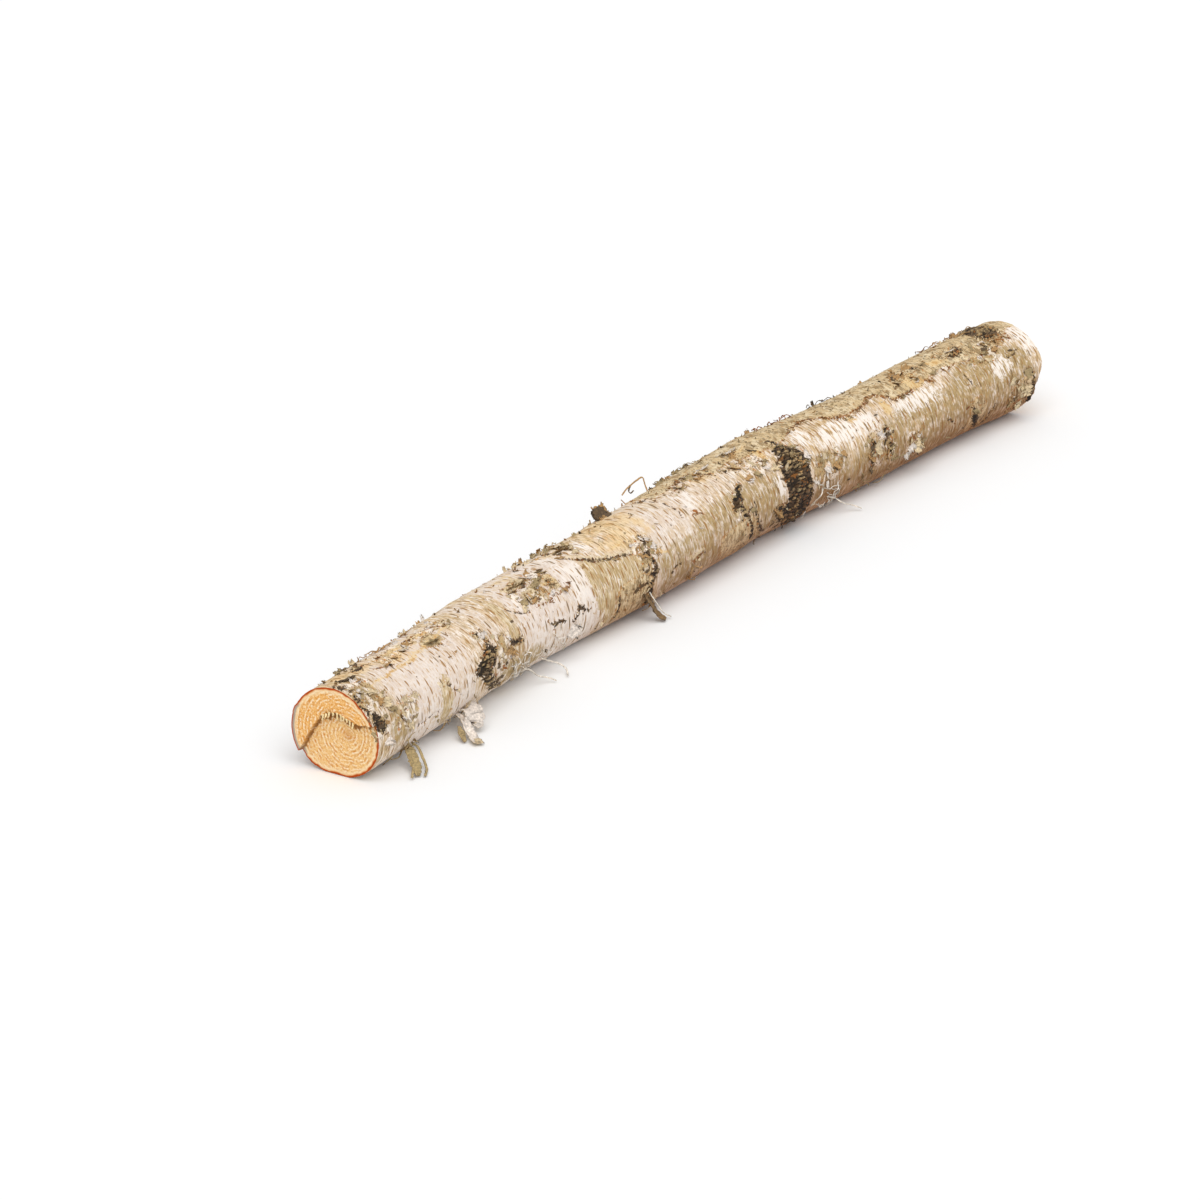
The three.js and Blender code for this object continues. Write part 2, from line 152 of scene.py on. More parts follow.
# Strokes as rows of points: s, turn and half width in millimetres
STROKES: dict[Layer, tuple[Triples, ...]] = {
    Layer.SCAR: (
        ((9, 66, 5.5), (14, 73, 6)), ((3, -2, 1.2), (4, 10, 2.6)), ((5, 20, 1.4), (5, 34, 2.4)),
        ((3, 42, 1.2), (4, 54, 2.4)), ((36, -12, 1.6), (45, -6, 3.2), (51, -9, 1.6)),
        ((40, -34, 2.4), (54, -31, 2.4)), ((62, 11, 1.6), (67, 13, 2)),
        ((145, 79, 3), (152, 79, 6.5), (162, 74, 9.5), (169, 70, 9), (176, 66, 4)),
        ((157, 88, 6), (164, 97, 5), (168, 107, 4.2), (172, 117, 3.4)),
        ((163, 42, 2.6), (168, 43, 2.4)), ((171, 46, 1.2), (173, 58, 1.8)),
        ((172, 102, 1.2), (180, 116, 2.4), (196, 131, 2.4)), ((203, 73, 2.4), (215, 76, 3)),
        ((257, 80, 1.6), (266, 83, 2.2), (278, 84, 1.6)),
        ((292, 91, 1.6), (300, 77, 1.8), (312, 88, 1.4)), ((318, -16, 2.2), (322, 4, 2)),
        ((398, 94, 3), (402, 84, 3.6)), ((405, 78, 2), (402, 66, 3), (405, 60, 1.4)),
        ((403, 52, 2.8), (407, 42, 2.2), (405, 34, 1.4)),
        ((395, 101, 3), (397, 112, 3.6), (400, 124, 4)), ((354, 92, 1.6), (354, 116, 2.2)),
        ((524, 66, 1.2), (530, 64, 4.2), (540, 56, 4.6), (546, 46, 3)),
        ((536, 68, 4), (541, 82, 2.4), (547, 104, 2.6), (549, 112, 3.2)),
        ((553, 70, 1), (556, 92, 1.6), (564, 114, 2.4), (576, 118, 2.2)),
        ((545, 17, 2), (552, 20, 1.8)), ((622, 12, 1.6), (625, 28, 2.4)),
        ((622, 34, 9), (626, 46, 12), (628, 62, 19), (624, 80, 25), (627, 100, 24), (630, 118, 18)),
        ((588, 98, 3), (596, 104, 6), (604, 110, 7)),
        ((736, 68, 1.4), (734, 88, 2.6), (731, 104, 1.6)),
        ((759, 61, 2), (756, 76, 2.6), (760, 96, 2)), ((892, 12, 1.4), (902, 12, 3.8), (910, 4, 2.4)),
        ((846, 6, 2), (849, 2, 2)), ((884, 92, 2), (889, 104, 3.8), (896, 122, 3)),
        ((904, 132, 1.6), (919, 104, 1.6)), ((971, 76, 1.6), (974, 96, 3.4), (975, 122, 3.4)),
        ((215, -112, 9), (226, -106, 5)), ((392, -122, 5), (396, -136, 8), (394, -150, 5)),
        ((536, -96, 6), (546, -94, 9), (558, -98, 4)),
        ((634, -112, 7), (641, -124, 10), (640, -140, 7)),
        ((872, -100, 7), (884, -98, 8), (888, -112, 5)),
    ),
    Layer.CRACK: (
        ((125, 20, 0.7), (130, 28, 0.7), (138, 29, 0.5)), ((105, 72, 0.8), (125, 95, 0.6)),
        ((217, 35, 0.7), (228, 51, 0.8), (241, 55, 0.6)),
        ((236, 20, 1), (250, 22, 1.2), (262, 18, 1)), ((246, 38, 0.9), (258, 46, 1.2)),
        ((322, 18, 0.9), (336, 31, 1.1), (354, 43, 1), (372, 48, 0.9), (388, 50, 0.8)),
        ((372, 96, 1.3), (384, 95, 1.6), (394, 93, 1.6)), ((446, 30, 0.7), (447, 50, 0.6)),
        ((462, 10, 0.8), (464, 40, 0.9)), ((449, -16, 2.2), (460, 2, 2.4)),
        ((500, -9, 1.2), (514, -12, 1.4), (525, -1, 1), (534, 8, 1)),
        ((526, 66, 2.4), (533, 62, 2.6)),
        ((604, 66, 1.6), (622, 67, 1.8), (636, 63, 1.6), (651, 57, 1.8)),
        ((612, 80, 1), (646, 78, 1.2)), ((608, 44, 0.9), (640, 42, 0.9)),
        ((650, 13, 0.9), (664, 5, 0.8)), ((800, 35, 0.9), (818, 33, 0.8)),
        ((804, 19, 0.9), (830, 1, 0.8)), ((891, 48, 1), (892, 62, 1.2)),
        ((895, 14, 2.6), (906, 12, 2.8)), ((951, 43, 0.9), (968, 46, 1)),
        ((950, 52, 0.9), (962, 51, 0.8)), ((950, -8, 1.2), (968, -12, 1.2)),
        ((846, 90, 0.5), (858, 100, 0.5)), ((60, 96, 0.6), (90, 98, 0.5)),
        ((427, 96, 0.8), (442, 92, 0.9)), ((34, 66, 0.6), (44, 88, 0.8)),
        ((132, -70, 0.8), (150, -84, 0.9), (156, -104, 0.6)), ((340, -60, 0.9), (346, -84, 0.8)),
        ((470, -110, 0.8), (498, -118, 1)), ((610, -70, 0.9), (630, -82, 1.1), (644, -80, 0.7)),
        ((764, -96, 0.9), (772, -120, 0.8)),
    ),
    Layer.RUST: (
        ((50, 6, 1.4), (60, 15, 1.6)), ((110, -8, 1.6), (120, -9, 1.2)), ((140, -10, 1.6), (152, 4, 1.4)),
        ((250, 54, 0.9), (275, 53, 1), (300, 47, 0.8)),
        ((456, 98, 1.6), (464, 95, 2.8), (472, 92, 2)), ((470, 6, 0.9), (502, 4, 1)),
        ((488, -5, 1.2), (502, -6, 1.2)), ((475, 45, 1), (490, 51, 1.2)),
        ((525, 1, 1.2), (535, 10, 1.4)),
        ((650, 13, 1), (665, 6, 1.1), (680, 3, 1.2), (690, 6, 1.2), (705, 16, 1.5), (716, 26, 1.7)),
        ((716, 26, 1.7), (726, 30, 1.8), (737, 26, 1.2), (750, 23, 1.2), (765, 14, 1.6), (776, 16, 1.6)),
        ((776, 16, 1.6), (786, 26, 1.7), (791, 34, 1.4), (816, 34, 0.9)), ((818, 6, 1.6), (830, 0, 1.2)),
        ((843, 29, 1.8), (850, 34, 1.8)), ((586, 96, 1.6), (600, 95, 2)),
        ((940, 12, 1.4), (958, 20, 1.8), (970, 24, 1.4)), ((792, 88, 1.6), (801, 104, 1.8)),
        ((1, 60, 1.2), (3, 88, 1.4)), ((236, -60, 1.2), (262, -70, 1.6), (284, -64, 1.2)),
        ((520, -66, 1.2), (548, -76, 1.6), (572, -70, 1.2)), ((806, -70, 1.4), (832, -84, 1.6)),
    ),
    Layer.TAN: (
        ((30, 27, 0.9), (75, 23, 1.2), (120, 15, 1.1), (156, 8, 0.9)), ((64, 26, 0.8), (110, 21, 0.8)),
        ((84, -8, 1.6), (110, 0, 1.4)), ((115, -8, 3), (128, -4, 3)), ((570, 6, 1.2), (600, -2, 1.2)),
        ((272, 33, 1.4), (286, 36, 1.2)), ((373, 34, 1.6), (384, 30, 1.4)),
        ((415, 62, 1), (426, 70, 1)),
    ),
    Layer.RIDGE: (
        ((322, 14, 1.4), (335, 27, 1.6), (352, 39, 1.5), (368, 45, 1.4), (390, 46, 1.3)),
        ((234, 12, 1.6), (248, 16, 2), (262, 12, 1.4)), ((252, 30, 1.6), (266, 40, 1.6)),
        ((95, 66, 0.9), (107, 69, 0.9)), ((525, 50, 1.2), (527, 74, 1.2)),
        ((452, 92, 1.2), (472, 87, 1.2)), ((566, -8, 1.2), (600, -4, 1.2)),
        ((40, 60, 0.9), (44, 90, 0.9)),
    ),
}

# Lower edge of the old skin that covers the top of the far half, as s and turn
TOP_FILM_EDGE: Pairs = (
    (452, -40), (462, -2), (500, -8), (515, -10), (526, 0), (540, 12), (566, 8), (600, 20), (632, 22),
    (650, 12), (665, 5), (680, 3), (690, 5), (705, 15), (715, 25), (725, 28), (737, 25), (750, 22),
    (765, 13), (775, 15), (785, 25), (790, 33), (815, 33), (845, 28), (880, 24), (905, 30), (940, 32),
    (975, 14), (1000, 6),
)
TOP_FILM_BACK = -96.0  # turn where that skin ends on the back

# Rough dark bark of the part: s, turn, reach along, reach around, height
SCARS: tuple[tuple[float, float, float, float, float], ...] = (
    (13, 68, 9, 7, 1.8), (45, -18, 14, 13, 1.8), (165, 78, 17, 14, 2.6), (182, 108, 10, 10, 1.8),
    (400, 75, 12, 27, 2), (540, 78, 12, 25, 2.4), (628, 75, 23, 34, 2.8), (734, 86, 6, 14, 1.6),
    (759, 78, 6, 13, 1.6), (902, 10, 10, 9, 1.8), (888, 108, 9, 14, 1.8), (957, 2, 18, 22, 2.4),
    (960, 108, 16, 14, 1.8), (215, -112, 15, 13, 2.4), (395, -135, 12, 20, 2), (545, -95, 16, 15, 2.4),
    (640, -125, 16, 22, 2.6), (880, -100, 14, 18, 2.2),
)


def linear(colour: str) -> tuple[float, float, float, float]:
    """Turn an sRGB hex colour into linear light.

    Args:
        colour: Colour as #RRGGBB.

    Returns:
        Red, green, blue and alpha in linear light.
    """
    parts = [int(colour[i : i + 2], 16) / 255 for i in (1, 3, 5)]
    lit = [p / 12.92 if p <= 0.04045 else ((p + 0.055) / 1.055) ** 2.4 for p in parts]
    return (lit[0], lit[1], lit[2], 1.0)


def add(tree: NodeTree, kind: str, settings: dict[Any, Any], **links: Any) -> Node:
    """Add a node with its settings and links.

    Args:
        tree: Node tree that gets the node.
        kind: Kind of shader node.
        settings: Values by property name, or by input name or number.
        links: Sockets to link, by input name with underscores for spaces, or in_N for input number N.

    Returns:
        The new node.
    """
    node = tree.nodes.new(f"ShaderNode{kind}")
    for name, value in settings.items():
        if isinstance(name, str) and hasattr(node, name):
            setattr(node, name, value)
        else:
            node.inputs[name].default_value = value
    for name, socket in links.items():
        key = int(name[3:]) if name.startswith("in_") else name.replace("_", " ")
        tree.links.new(socket, node.inputs[key])
    return node


def matt(name: str, roughness: float, specular: float) -> tuple[Material, NodeTree, Node]:
    """Start a matt material.

    Args:
        name: Its name.
        roughness: From 0 for a mirror to 1.
        specular: How strongly it shines.

    Returns:
        The material, its node tree and the node of its surface.
    """
    material = bpy.data.materials.new(name)
    material.use_nodes = True
    shader = material.node_tree.nodes["Principled BSDF"]
    shader.inputs["Roughness"].default_value = roughness
    shader.inputs["Specular IOR Level"].default_value = specular
    return material, material.node_tree, shader


@dataclass(frozen=True)
class Coat:
    """A colour, and the covers that say together where it lies over what is under it."""

    colour: str
    covers: tuple[NodeSocket, ...]


def lay_coats(tree: NodeTree, ground: str, coats: list[Coat]) -> NodeSocket:
    """Lay coats of colour over a ground, one after another.

    Args:
        tree: Node tree of the finish.
        ground: Colour of the bare surface.
        coats: Coats, the lowest first.

    Returns:
        The colour that is seen.
    """
    seen = None
    for coat in coats:
        cover = coat.covers[0]
        for other in coat.covers[1:]:
            cover = add(tree, "Math", {"operation": "MULTIPLY"}, in_0=cover, in_1=other).outputs[0]
        settings = {"data_type": "RGBA", 7: linear(coat.colour)}
        if seen is None:
            settings[6] = linear(ground)
        node = add(tree, "Mix", settings, in_0=cover)
        if seen is not None:
            tree.links.new(seen, node.inputs[6])
        seen = node.outputs[2]
    return seen


def smooth(low: float, high: float, value: Array) -> Array:
    """Smooth step from 0 at low to 1 at high."""
    t = np.clip((value - low) / (high - low), 0, 1)
    return t * t * (3 - 2 * t)


def curve(knots: Array, t: Array) -> Array:
    """Draw a smooth curve through knots.

    Args:
        knots: Values at whole steps of t, from 0 on.
        t: Where the curve is read.

    Returns:
        The curve's values.
    """
    k = np.concatenate([[2 * knots[0] - knots[1]], knots, [2 * knots[-1] - knots[-2]]])
    i = np.clip(t.astype(int), 0, len(knots) - 2)
    t = t - i
    a, b, c, d = k[i], k[i + 1], k[i + 2], k[i + 3]
    return b + 0.5 * t * (c - a + t * (2 * a - 5 * b + 4 * c - d + t * (3 * (b - c) + d - a)))


def unit(vectors: Array) -> Array:
    """Vectors, as (..., 3), brought to a length of 1."""
    return vectors / np.maximum(np.linalg.norm(vectors, axis=-1, keepdims=True), TINY)


class Grain:
    """Seeded smooth noise in three dimensions."""

    CELLS = 64  # after which the noise repeats
    GAIN = 1.6  # brings the noise to about -1 to 1
    SCATTER = 0.45  # how far a plate's middle strays, as a share of its size

    def __init__(self, seed: int) -> None:
        """Draw the slopes of the noise at the points of a lattice."""
        self.slopes = unit(np.random.default_rng(seed).normal(size=(self.CELLS,) * 3 + (3,)))

    def __call__(self, points: Array, size: float | Triple) -> Array:
        """Read the noise.

        Args:
            points: Places, as (..., 3).
            size: Size of a lump, for all three directions or for each.

        Returns:
            Values from about -1 to 1.
        """
        scaled = points / np.asarray(size, float)
        cell = np.floor(scaled).astype(int)
        part = scaled - cell
        ease = part**3 * (part * (part * 6 - 15) + 10)
        total = np.zeros(points.shape[:-1])
        for corner in itertools.product((0, 1), repeat=3):
            step = np.array(corner)
            at = (cell + step) % self.CELLS
            slope = self.slopes[at[..., 0], at[..., 1], at[..., 2]]
            weight = np.prod(np.where(step == 1, ease, 1 - ease), axis=-1)
            total += weight * np.sum(slope * (part - step), axis=-1)
        return total * self.GAIN

    def plates(self, points: Array, size: Triple) -> tuple[Array, Array]:
        """Split space into plates with cracks between them.

        Args:
            points: Places, as (n, 3).
            size: Mean size of a plate in each direction.

        Returns:
            Distance to the nearest crack as a share of a plate's size, and a number from 0 to 1 per plate.
        """
        scaled = points / np.asarray(size, float)
        cell = np.floor(scaled).astype(int)
        nearest = np.full((2, len(points)), np.inf)
        lot = np.zeros(len(points))
        for corner in itertools.product((-1, 0, 1), repeat=3):
            at = cell + np.array(corner)
            wrapped = at % self.CELLS
            slope = self.slopes[wrapped[..., 0], wrapped[..., 1], wrapped[..., 2]]
            reach = np.linalg.norm(at + 0.5 + self.SCATTER * slope - scaled, axis=-1)
            closer = reach < nearest[0]
            nearest[1] = np.where(closer, nearest[0], np.minimum(nearest[1], reach))
            nearest[0] = np.where(closer, reach, nearest[0])
            lot = np.where(closer, 0.5 + 0.5 * slope[:, 0], lot)
        return nearest[1] - nearest[0], lot


def lumps(places: Array, rows: Lumps) -> Array:
    """Seeded noise at places, as (..., 3), summed over its rows."""
    return sum(height * Grain(seed)(places, size) for seed, size, height in rows)


@dataclass(frozen=True)
class Stem:
    """The bowed, slightly oval stem, by the part's own formulas, in millimetres."""

    length: float = 1000.0  # before the far end was sawn off
    middle: float = 495.0
    # how far the axis bows to +Y, and the radius, at equal steps along the stem
    side: tuple[float, ...] = (0, 6.5, 16.8, 17.5, 17.5, 21.5, 15.0, 10.5, 0)
    radius: tuple[float, ...] = (37.9, 37.2, 37.2, 38.0, 38.9, 38.9, 38.2, 38.0, 38.8)
    mean_radius: float = 38.0
    oval: float = 1.3  # added to the radius along the longer width
    oval_turn: float = 85.0
    oval_twist: float = 0.05  # degrees to a millimetre of length
    lobe: float = 0.6  # height of three blunt corners
    lobe_twist: float = 0.9
    belly_sink: float = 1.2  # depth of the flat that the log rests on
    centre_shift: float = 3.4  # brings the part's box over the origin
    # low swellings: s, half width, height
    rings: Triples = (
        (160, 9, 0.7), (207, 7, 0.6), (405, 12, 0.8), (545, 14, 0.7), (626, 24, 1.2), (950, 26, 0.7)
    )

    def along(self, knots: tuple[float, ...], s: Array) -> Array:
        """Smooth curve through knots at equal steps along the stem."""
        share = np.clip(np.asarray(s, float) / self.length, 0, 1)
        return curve(np.array(knots, float), share * (len(knots) - 1))

    def clear_radius(self, s: Array, turn: Array) -> Array:
        """Work out the radius of the clear stem.

        Args:
            s: Places along the stem.
            turn: Turns round it.

        Returns:
            The radius at each place.
        """
        oval = self.oval * np.cos(np.radians(2 * (turn - self.oval_turn - self.oval_twist * s)))
        lobes = self.lobe * np.cos(np.radians(3 * turn + self.lobe_twist * s))
        return self.along(self.radius, s) + oval + lobes

    def arc(self, turn: float) -> float:
        """Way round the stem, at its mean radius, that makes a turn."""
        return self.mean_radius * math.radians(turn)

    def axis_height(self, s: Array) -> Array:
        """Height of the axis over the surface that the log rests on."""
        return self.clear_radius(s, 180.0) - self.belly_sink

    def ring_height(self, s: Array) -> Array:
        """Height of the low swellings over the clear stem."""
        return sum(h * np.exp(-(((s - at) / half) ** 2)) for at, half, h in self.rings)

    def point(self, s: Array, turn: Array, distance: Array) -> Array:
        """Find points by their distance from the axis.

        Args:
            s: Places along the stem.
            turn: Turns round it.
            distance: Distances from the axis.

        Returns:
            The points, as (..., 3).
        """
        s, turn, distance = np.broadcast_arrays(*(np.asarray(v, float) for v in (s, turn, distance)))
        y = self.along(self.side, s) - distance * np.sin(np.radians(turn)) - self.centre_shift
        z = self.axis_height(s) + distance * np.cos(np.radians(turn))
        return np.stack([s - self.middle, y, z], axis=-1)

    def bark(self, s: Array, turn: Array, lift: Array) -> Array:
        """Point at a height over the bark, in millimetres, as (..., 3)."""
        return self.point(s, turn, self.clear_radius(s, turn) + self.ring_height(s) + lift)


def mesh_piece(name: str, points: Array, faces: Array, material: Material) -> Object:
    """Make a smooth mesh that rides on the part and stands for its node.

    Args:
        name: Name of the piece.
        points: Corners in millimetres, as (n, 3).
        faces: Corner numbers of four-sided faces, as (m, 4).
        material: Finish of the piece.

    Returns:
        The new object.
    """
    mesh = bpy.data.meshes.new(name)
    mesh.vertices.add(len(points))
    mesh.vertices.foreach_set("co", (points * MM).astype(np.float32).ravel())
    mesh.loops.add(faces.size)
    mesh.loops.foreach_set("vertex_index", faces.astype(np.int32).ravel())
    mesh.polygons.add(len(faces))
    mesh.polygons.foreach_set("loop_start", np.arange(0, faces.size, 4, dtype=np.int32))
    mesh.update(calc_edges=True)
    mesh.validate()
    mesh.shade_smooth()
    mesh.materials.append(material)
    piece = bpy.data.objects.new(name, mesh)
    bpy.context.scene.collection.objects.link(piece)
    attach(piece, "root")
    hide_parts(NODE)
    return piece


def mark(piece: Object, name: str, values: Array) -> None:
    """Store a number, a vector or a colour at each corner of a piece.

    Args:
        piece: Object that gets the values.
        name: Name that the material reads.
        values: One number per corner as (n,), or a vector or colour as (n, 3) or (n, 4).
    """
    kinds = {1: ("FLOAT", "value"), 3: ("FLOAT_VECTOR", "vector"), 4: ("FLOAT_COLOR", "color")}
    kind, key = kinds[1 if values.ndim == 1 else values.shape[1]]
    stored = piece.data.attributes.new(name, kind, "POINT")
    stored.data.foreach_set(key, values.astype(np.float32).ravel())


def grid_faces(rows: int, columns: int) -> Array:
    """Four-sided faces of a grid of rows times columns of corners."""
    at = np.arange(rows * columns).reshape(rows, columns)
    return np.stack([at[:-1, :-1], at[1:, :-1], at[1:, 1:], at[:-1, 1:]], axis=-1).reshape(-1, 4)


@dataclass(frozen=True)
class SawCuts:
    """The stepped near cut and the far cut, as in the part, in millimetres."""

    step_depth: float = 5.0
    # across towards -Y, and height over the axis
    step_edge: Pairs = (
        (-34, -24), (-25, -8), (-19, 2), (-12, 11), (-5, 15.8), (5, 17), (15, 13.4), (25, 12.3), (46, 15)
    )
    step_wall: float = 0.3  # half width of the step's steep wall
    # height over the axis, and s
    far_edge: Pairs = ((-60, 976), (-9, 978), (10, 990), (60, 990))

    def edge(self, across: Array) -> Array:
        """Height of the step's edge over the axis."""
        x, y = zip(*self.step_edge)
        return np.interp(across, x, y)

    def near(self, across: Array, up: Array) -> Array:
        """Depth of the near cut at a place on it, towards -Y across and up from the axis."""
        return self.step_depth * smooth(-self.step_wall, self.step_wall, self.edge(across) - up)

    def far(self, up: Array) -> Array:
        """Place along the stem of the far cut, whose lower half is cut back."""
        height, s = zip(*self.far_edge)
        return np.interp(up, height, s)


@dataclass
class BarkPatterns:
    """Covers that coats of bark colour are laid with, from 0 to 1, on a stem that is measured in mm."""

    tree: NodeTree
    fray_size: float

    def __post_init__(self) -> None:
        """Read where a point lies, and the fray of torn edges."""
        read = {"attribute_name": "place"}
        self.place = add(self.tree, "Attribute", read).outputs["Vector"]
        read = {"attribute_name": "straight"}
        self.straight = add(self.tree, "Attribute", read).outputs["Vector"]
        settings = {"Scale": 1 / self.fray_size, "Detail": 4.0}
        self.fray = add(self.tree, "TexNoise", settings, Vector=self.straight).outputs["Fac"]

    def value(self, name: str, low: float, high: float, most: float = 1.0) -> NodeSocket:
        """Cover from a number that is stored in the mesh.

        Args:
            name: Name of the stored number.
            low: Number that gives no cover.
            high: Number that gives full cover.
            most: The most that it covers.

        Returns:
            The cover.
        """
        read = add(self.tree, "Attribute", {"attribute_name": name}).outputs["Fac"]
        spread = {"From Min": low, "From Max": high, "To Max": most}
        return add(self.tree, "MapRange", spread, Value=read).outputs["Result"]

    def layer(
        self, layer: Layer, low: float, high: float, most: float = 1.0, fray: float = 0.3
    ) -> NodeSocket:
        """Cover of a layer of bark with a frayed edge.

        Args:
            layer: The layer.
            low: Depth with no cover, where 0.5 is the layer's edge.
            high: Depth with full cover.
            most: The most that it covers.
            fray: How far the edge is frayed, in the same measure.

        Returns:
            The cover.
        """
        read = add(self.tree, "Attribute", {"attribute_name": layer.value}).outputs["Fac"]
        spread = {"From Min": 0.25, "From Max": 0.75, "To Min": -fray / 2, "To Max": fray / 2}
        shift = add(self.tree, "MapRange", spread, Value=self.fray).outputs["Result"]
        frayed = add(self.tree, "Math", {"operation": "ADD"}, in_0=read, in_1=shift).outputs[0]
        spread = {"interpolation_type": "SMOOTHSTEP", "From Min": low, "From Max": high, "To Max": most}
        return add(self.tree, "MapRange", spread, Value=frayed).outputs["Result"]

    def mottle(self, size: float, low: float, high: float, most: float = 1.0) -> NodeSocket:
        """Cover of blotches.

        Args:
            size: Size of a blotch.
            low: Level of the noise with no cover.
            high: Level with full cover.
            most: The most that it covers.

        Returns:
            The cover.
        """
        settings = {"Scale": 1 / size, "Detail": 3.0, "Roughness": 0.6}
        noise = add(self.tree, "TexNoise", settings, Vector=self.straight).outputs["Fac"]
        spread = {"From Min": low, "From Max": high, "To Max": most}
        return add(self.tree, "MapRange", spread, Value=noise).outputs["Result"]

    def lines(self, size: Pair, low: float, high: float, most: float = 1.0) -> NodeSocket:
        """Cover of streaks that run round the stem.

        Args:
            size: Width and length of a streak.
            low: Level of the noise with no cover.
            high: Level with full cover.
            most: The most that it covers.

        Returns:
            The cover.
        """
        settings = {"operation": "MULTIPLY", 1: (1 / size[0], 1 / size[1], 0)}
        scaled = add(self.tree, "VectorMath", settings, in_0=self.place).outputs[0]
        settings = {"noise_dimensions": "2D", "Scale": 1.0, "Detail": 2.0}
        noise = add(self.tree, "TexNoise", settings, Vector=scaled).outputs["Fac"]
        spread = {"From Min": low, "From Max": high, "To Max": most}
        return add(self.tree, "MapRange", spread, Value=noise).outputs["Result"]

    def pores(self, pitch: Pair, half: Pair, rare: float, most: float = 1.0) -> NodeSocket:
        """Cover of short pores that run round the stem, one to a cell at a random place.

        Args:
            pitch: Mean distance of pores along and round the stem.
            half: Half width and half length of a large one.
            rare: Share of the cells that stay empty.
            most: The most that it covers.

        Returns:
            The cover.
        """
        tree = self.tree
        settings = {"operation": "MULTIPLY", 1: (1 / pitch[0], 1 / pitch[1], 0)}
        scaled = add(tree, "VectorMath", settings, in_0=self.place).outputs[0]
        settings = {"voronoi_dimensions": "2D", "Scale": 1.0}
        cell = add(tree, "TexVoronoi", settings, Vector=scaled)
        settings = {"operation": "SUBTRACT"}
        middle = cell.outputs["Position"]
        away = add(tree, "VectorMath", settings, in_0=scaled, in_1=middle).outputs[0]
        settings = {"operation": "MULTIPLY", 1: (pitch[0] / half[0], pitch[1] / half[1], 0)}
        sized = add(tree, "VectorMath", settings, in_0=away).outputs[0]
        reach = add(tree, "VectorMath", {"operation": "LENGTH"}, in_0=sized).outputs["Value"]
        lot = add(tree, "SeparateColor", {}, Color=cell.outputs["Color"]).outputs[0]
        spread = {"From Min": rare, "From Max": 1.0, "To Min": 0.2, "To Max": 1.2, "clamp": False}
        limit = add(tree, "MapRange", spread, Value=lot).outputs["Result"]
        inside = add(tree, "Math", {"operation": "SUBTRACT"}, in_0=limit, in_1=reach).outputs[0]
        spread = {"interpolation_type": "SMOOTHSTEP", "From Min": -0.1, "From Max": 0.3, "To Max": most}
        return add(tree, "MapRange", spread, Value=inside).outputs["Result"]


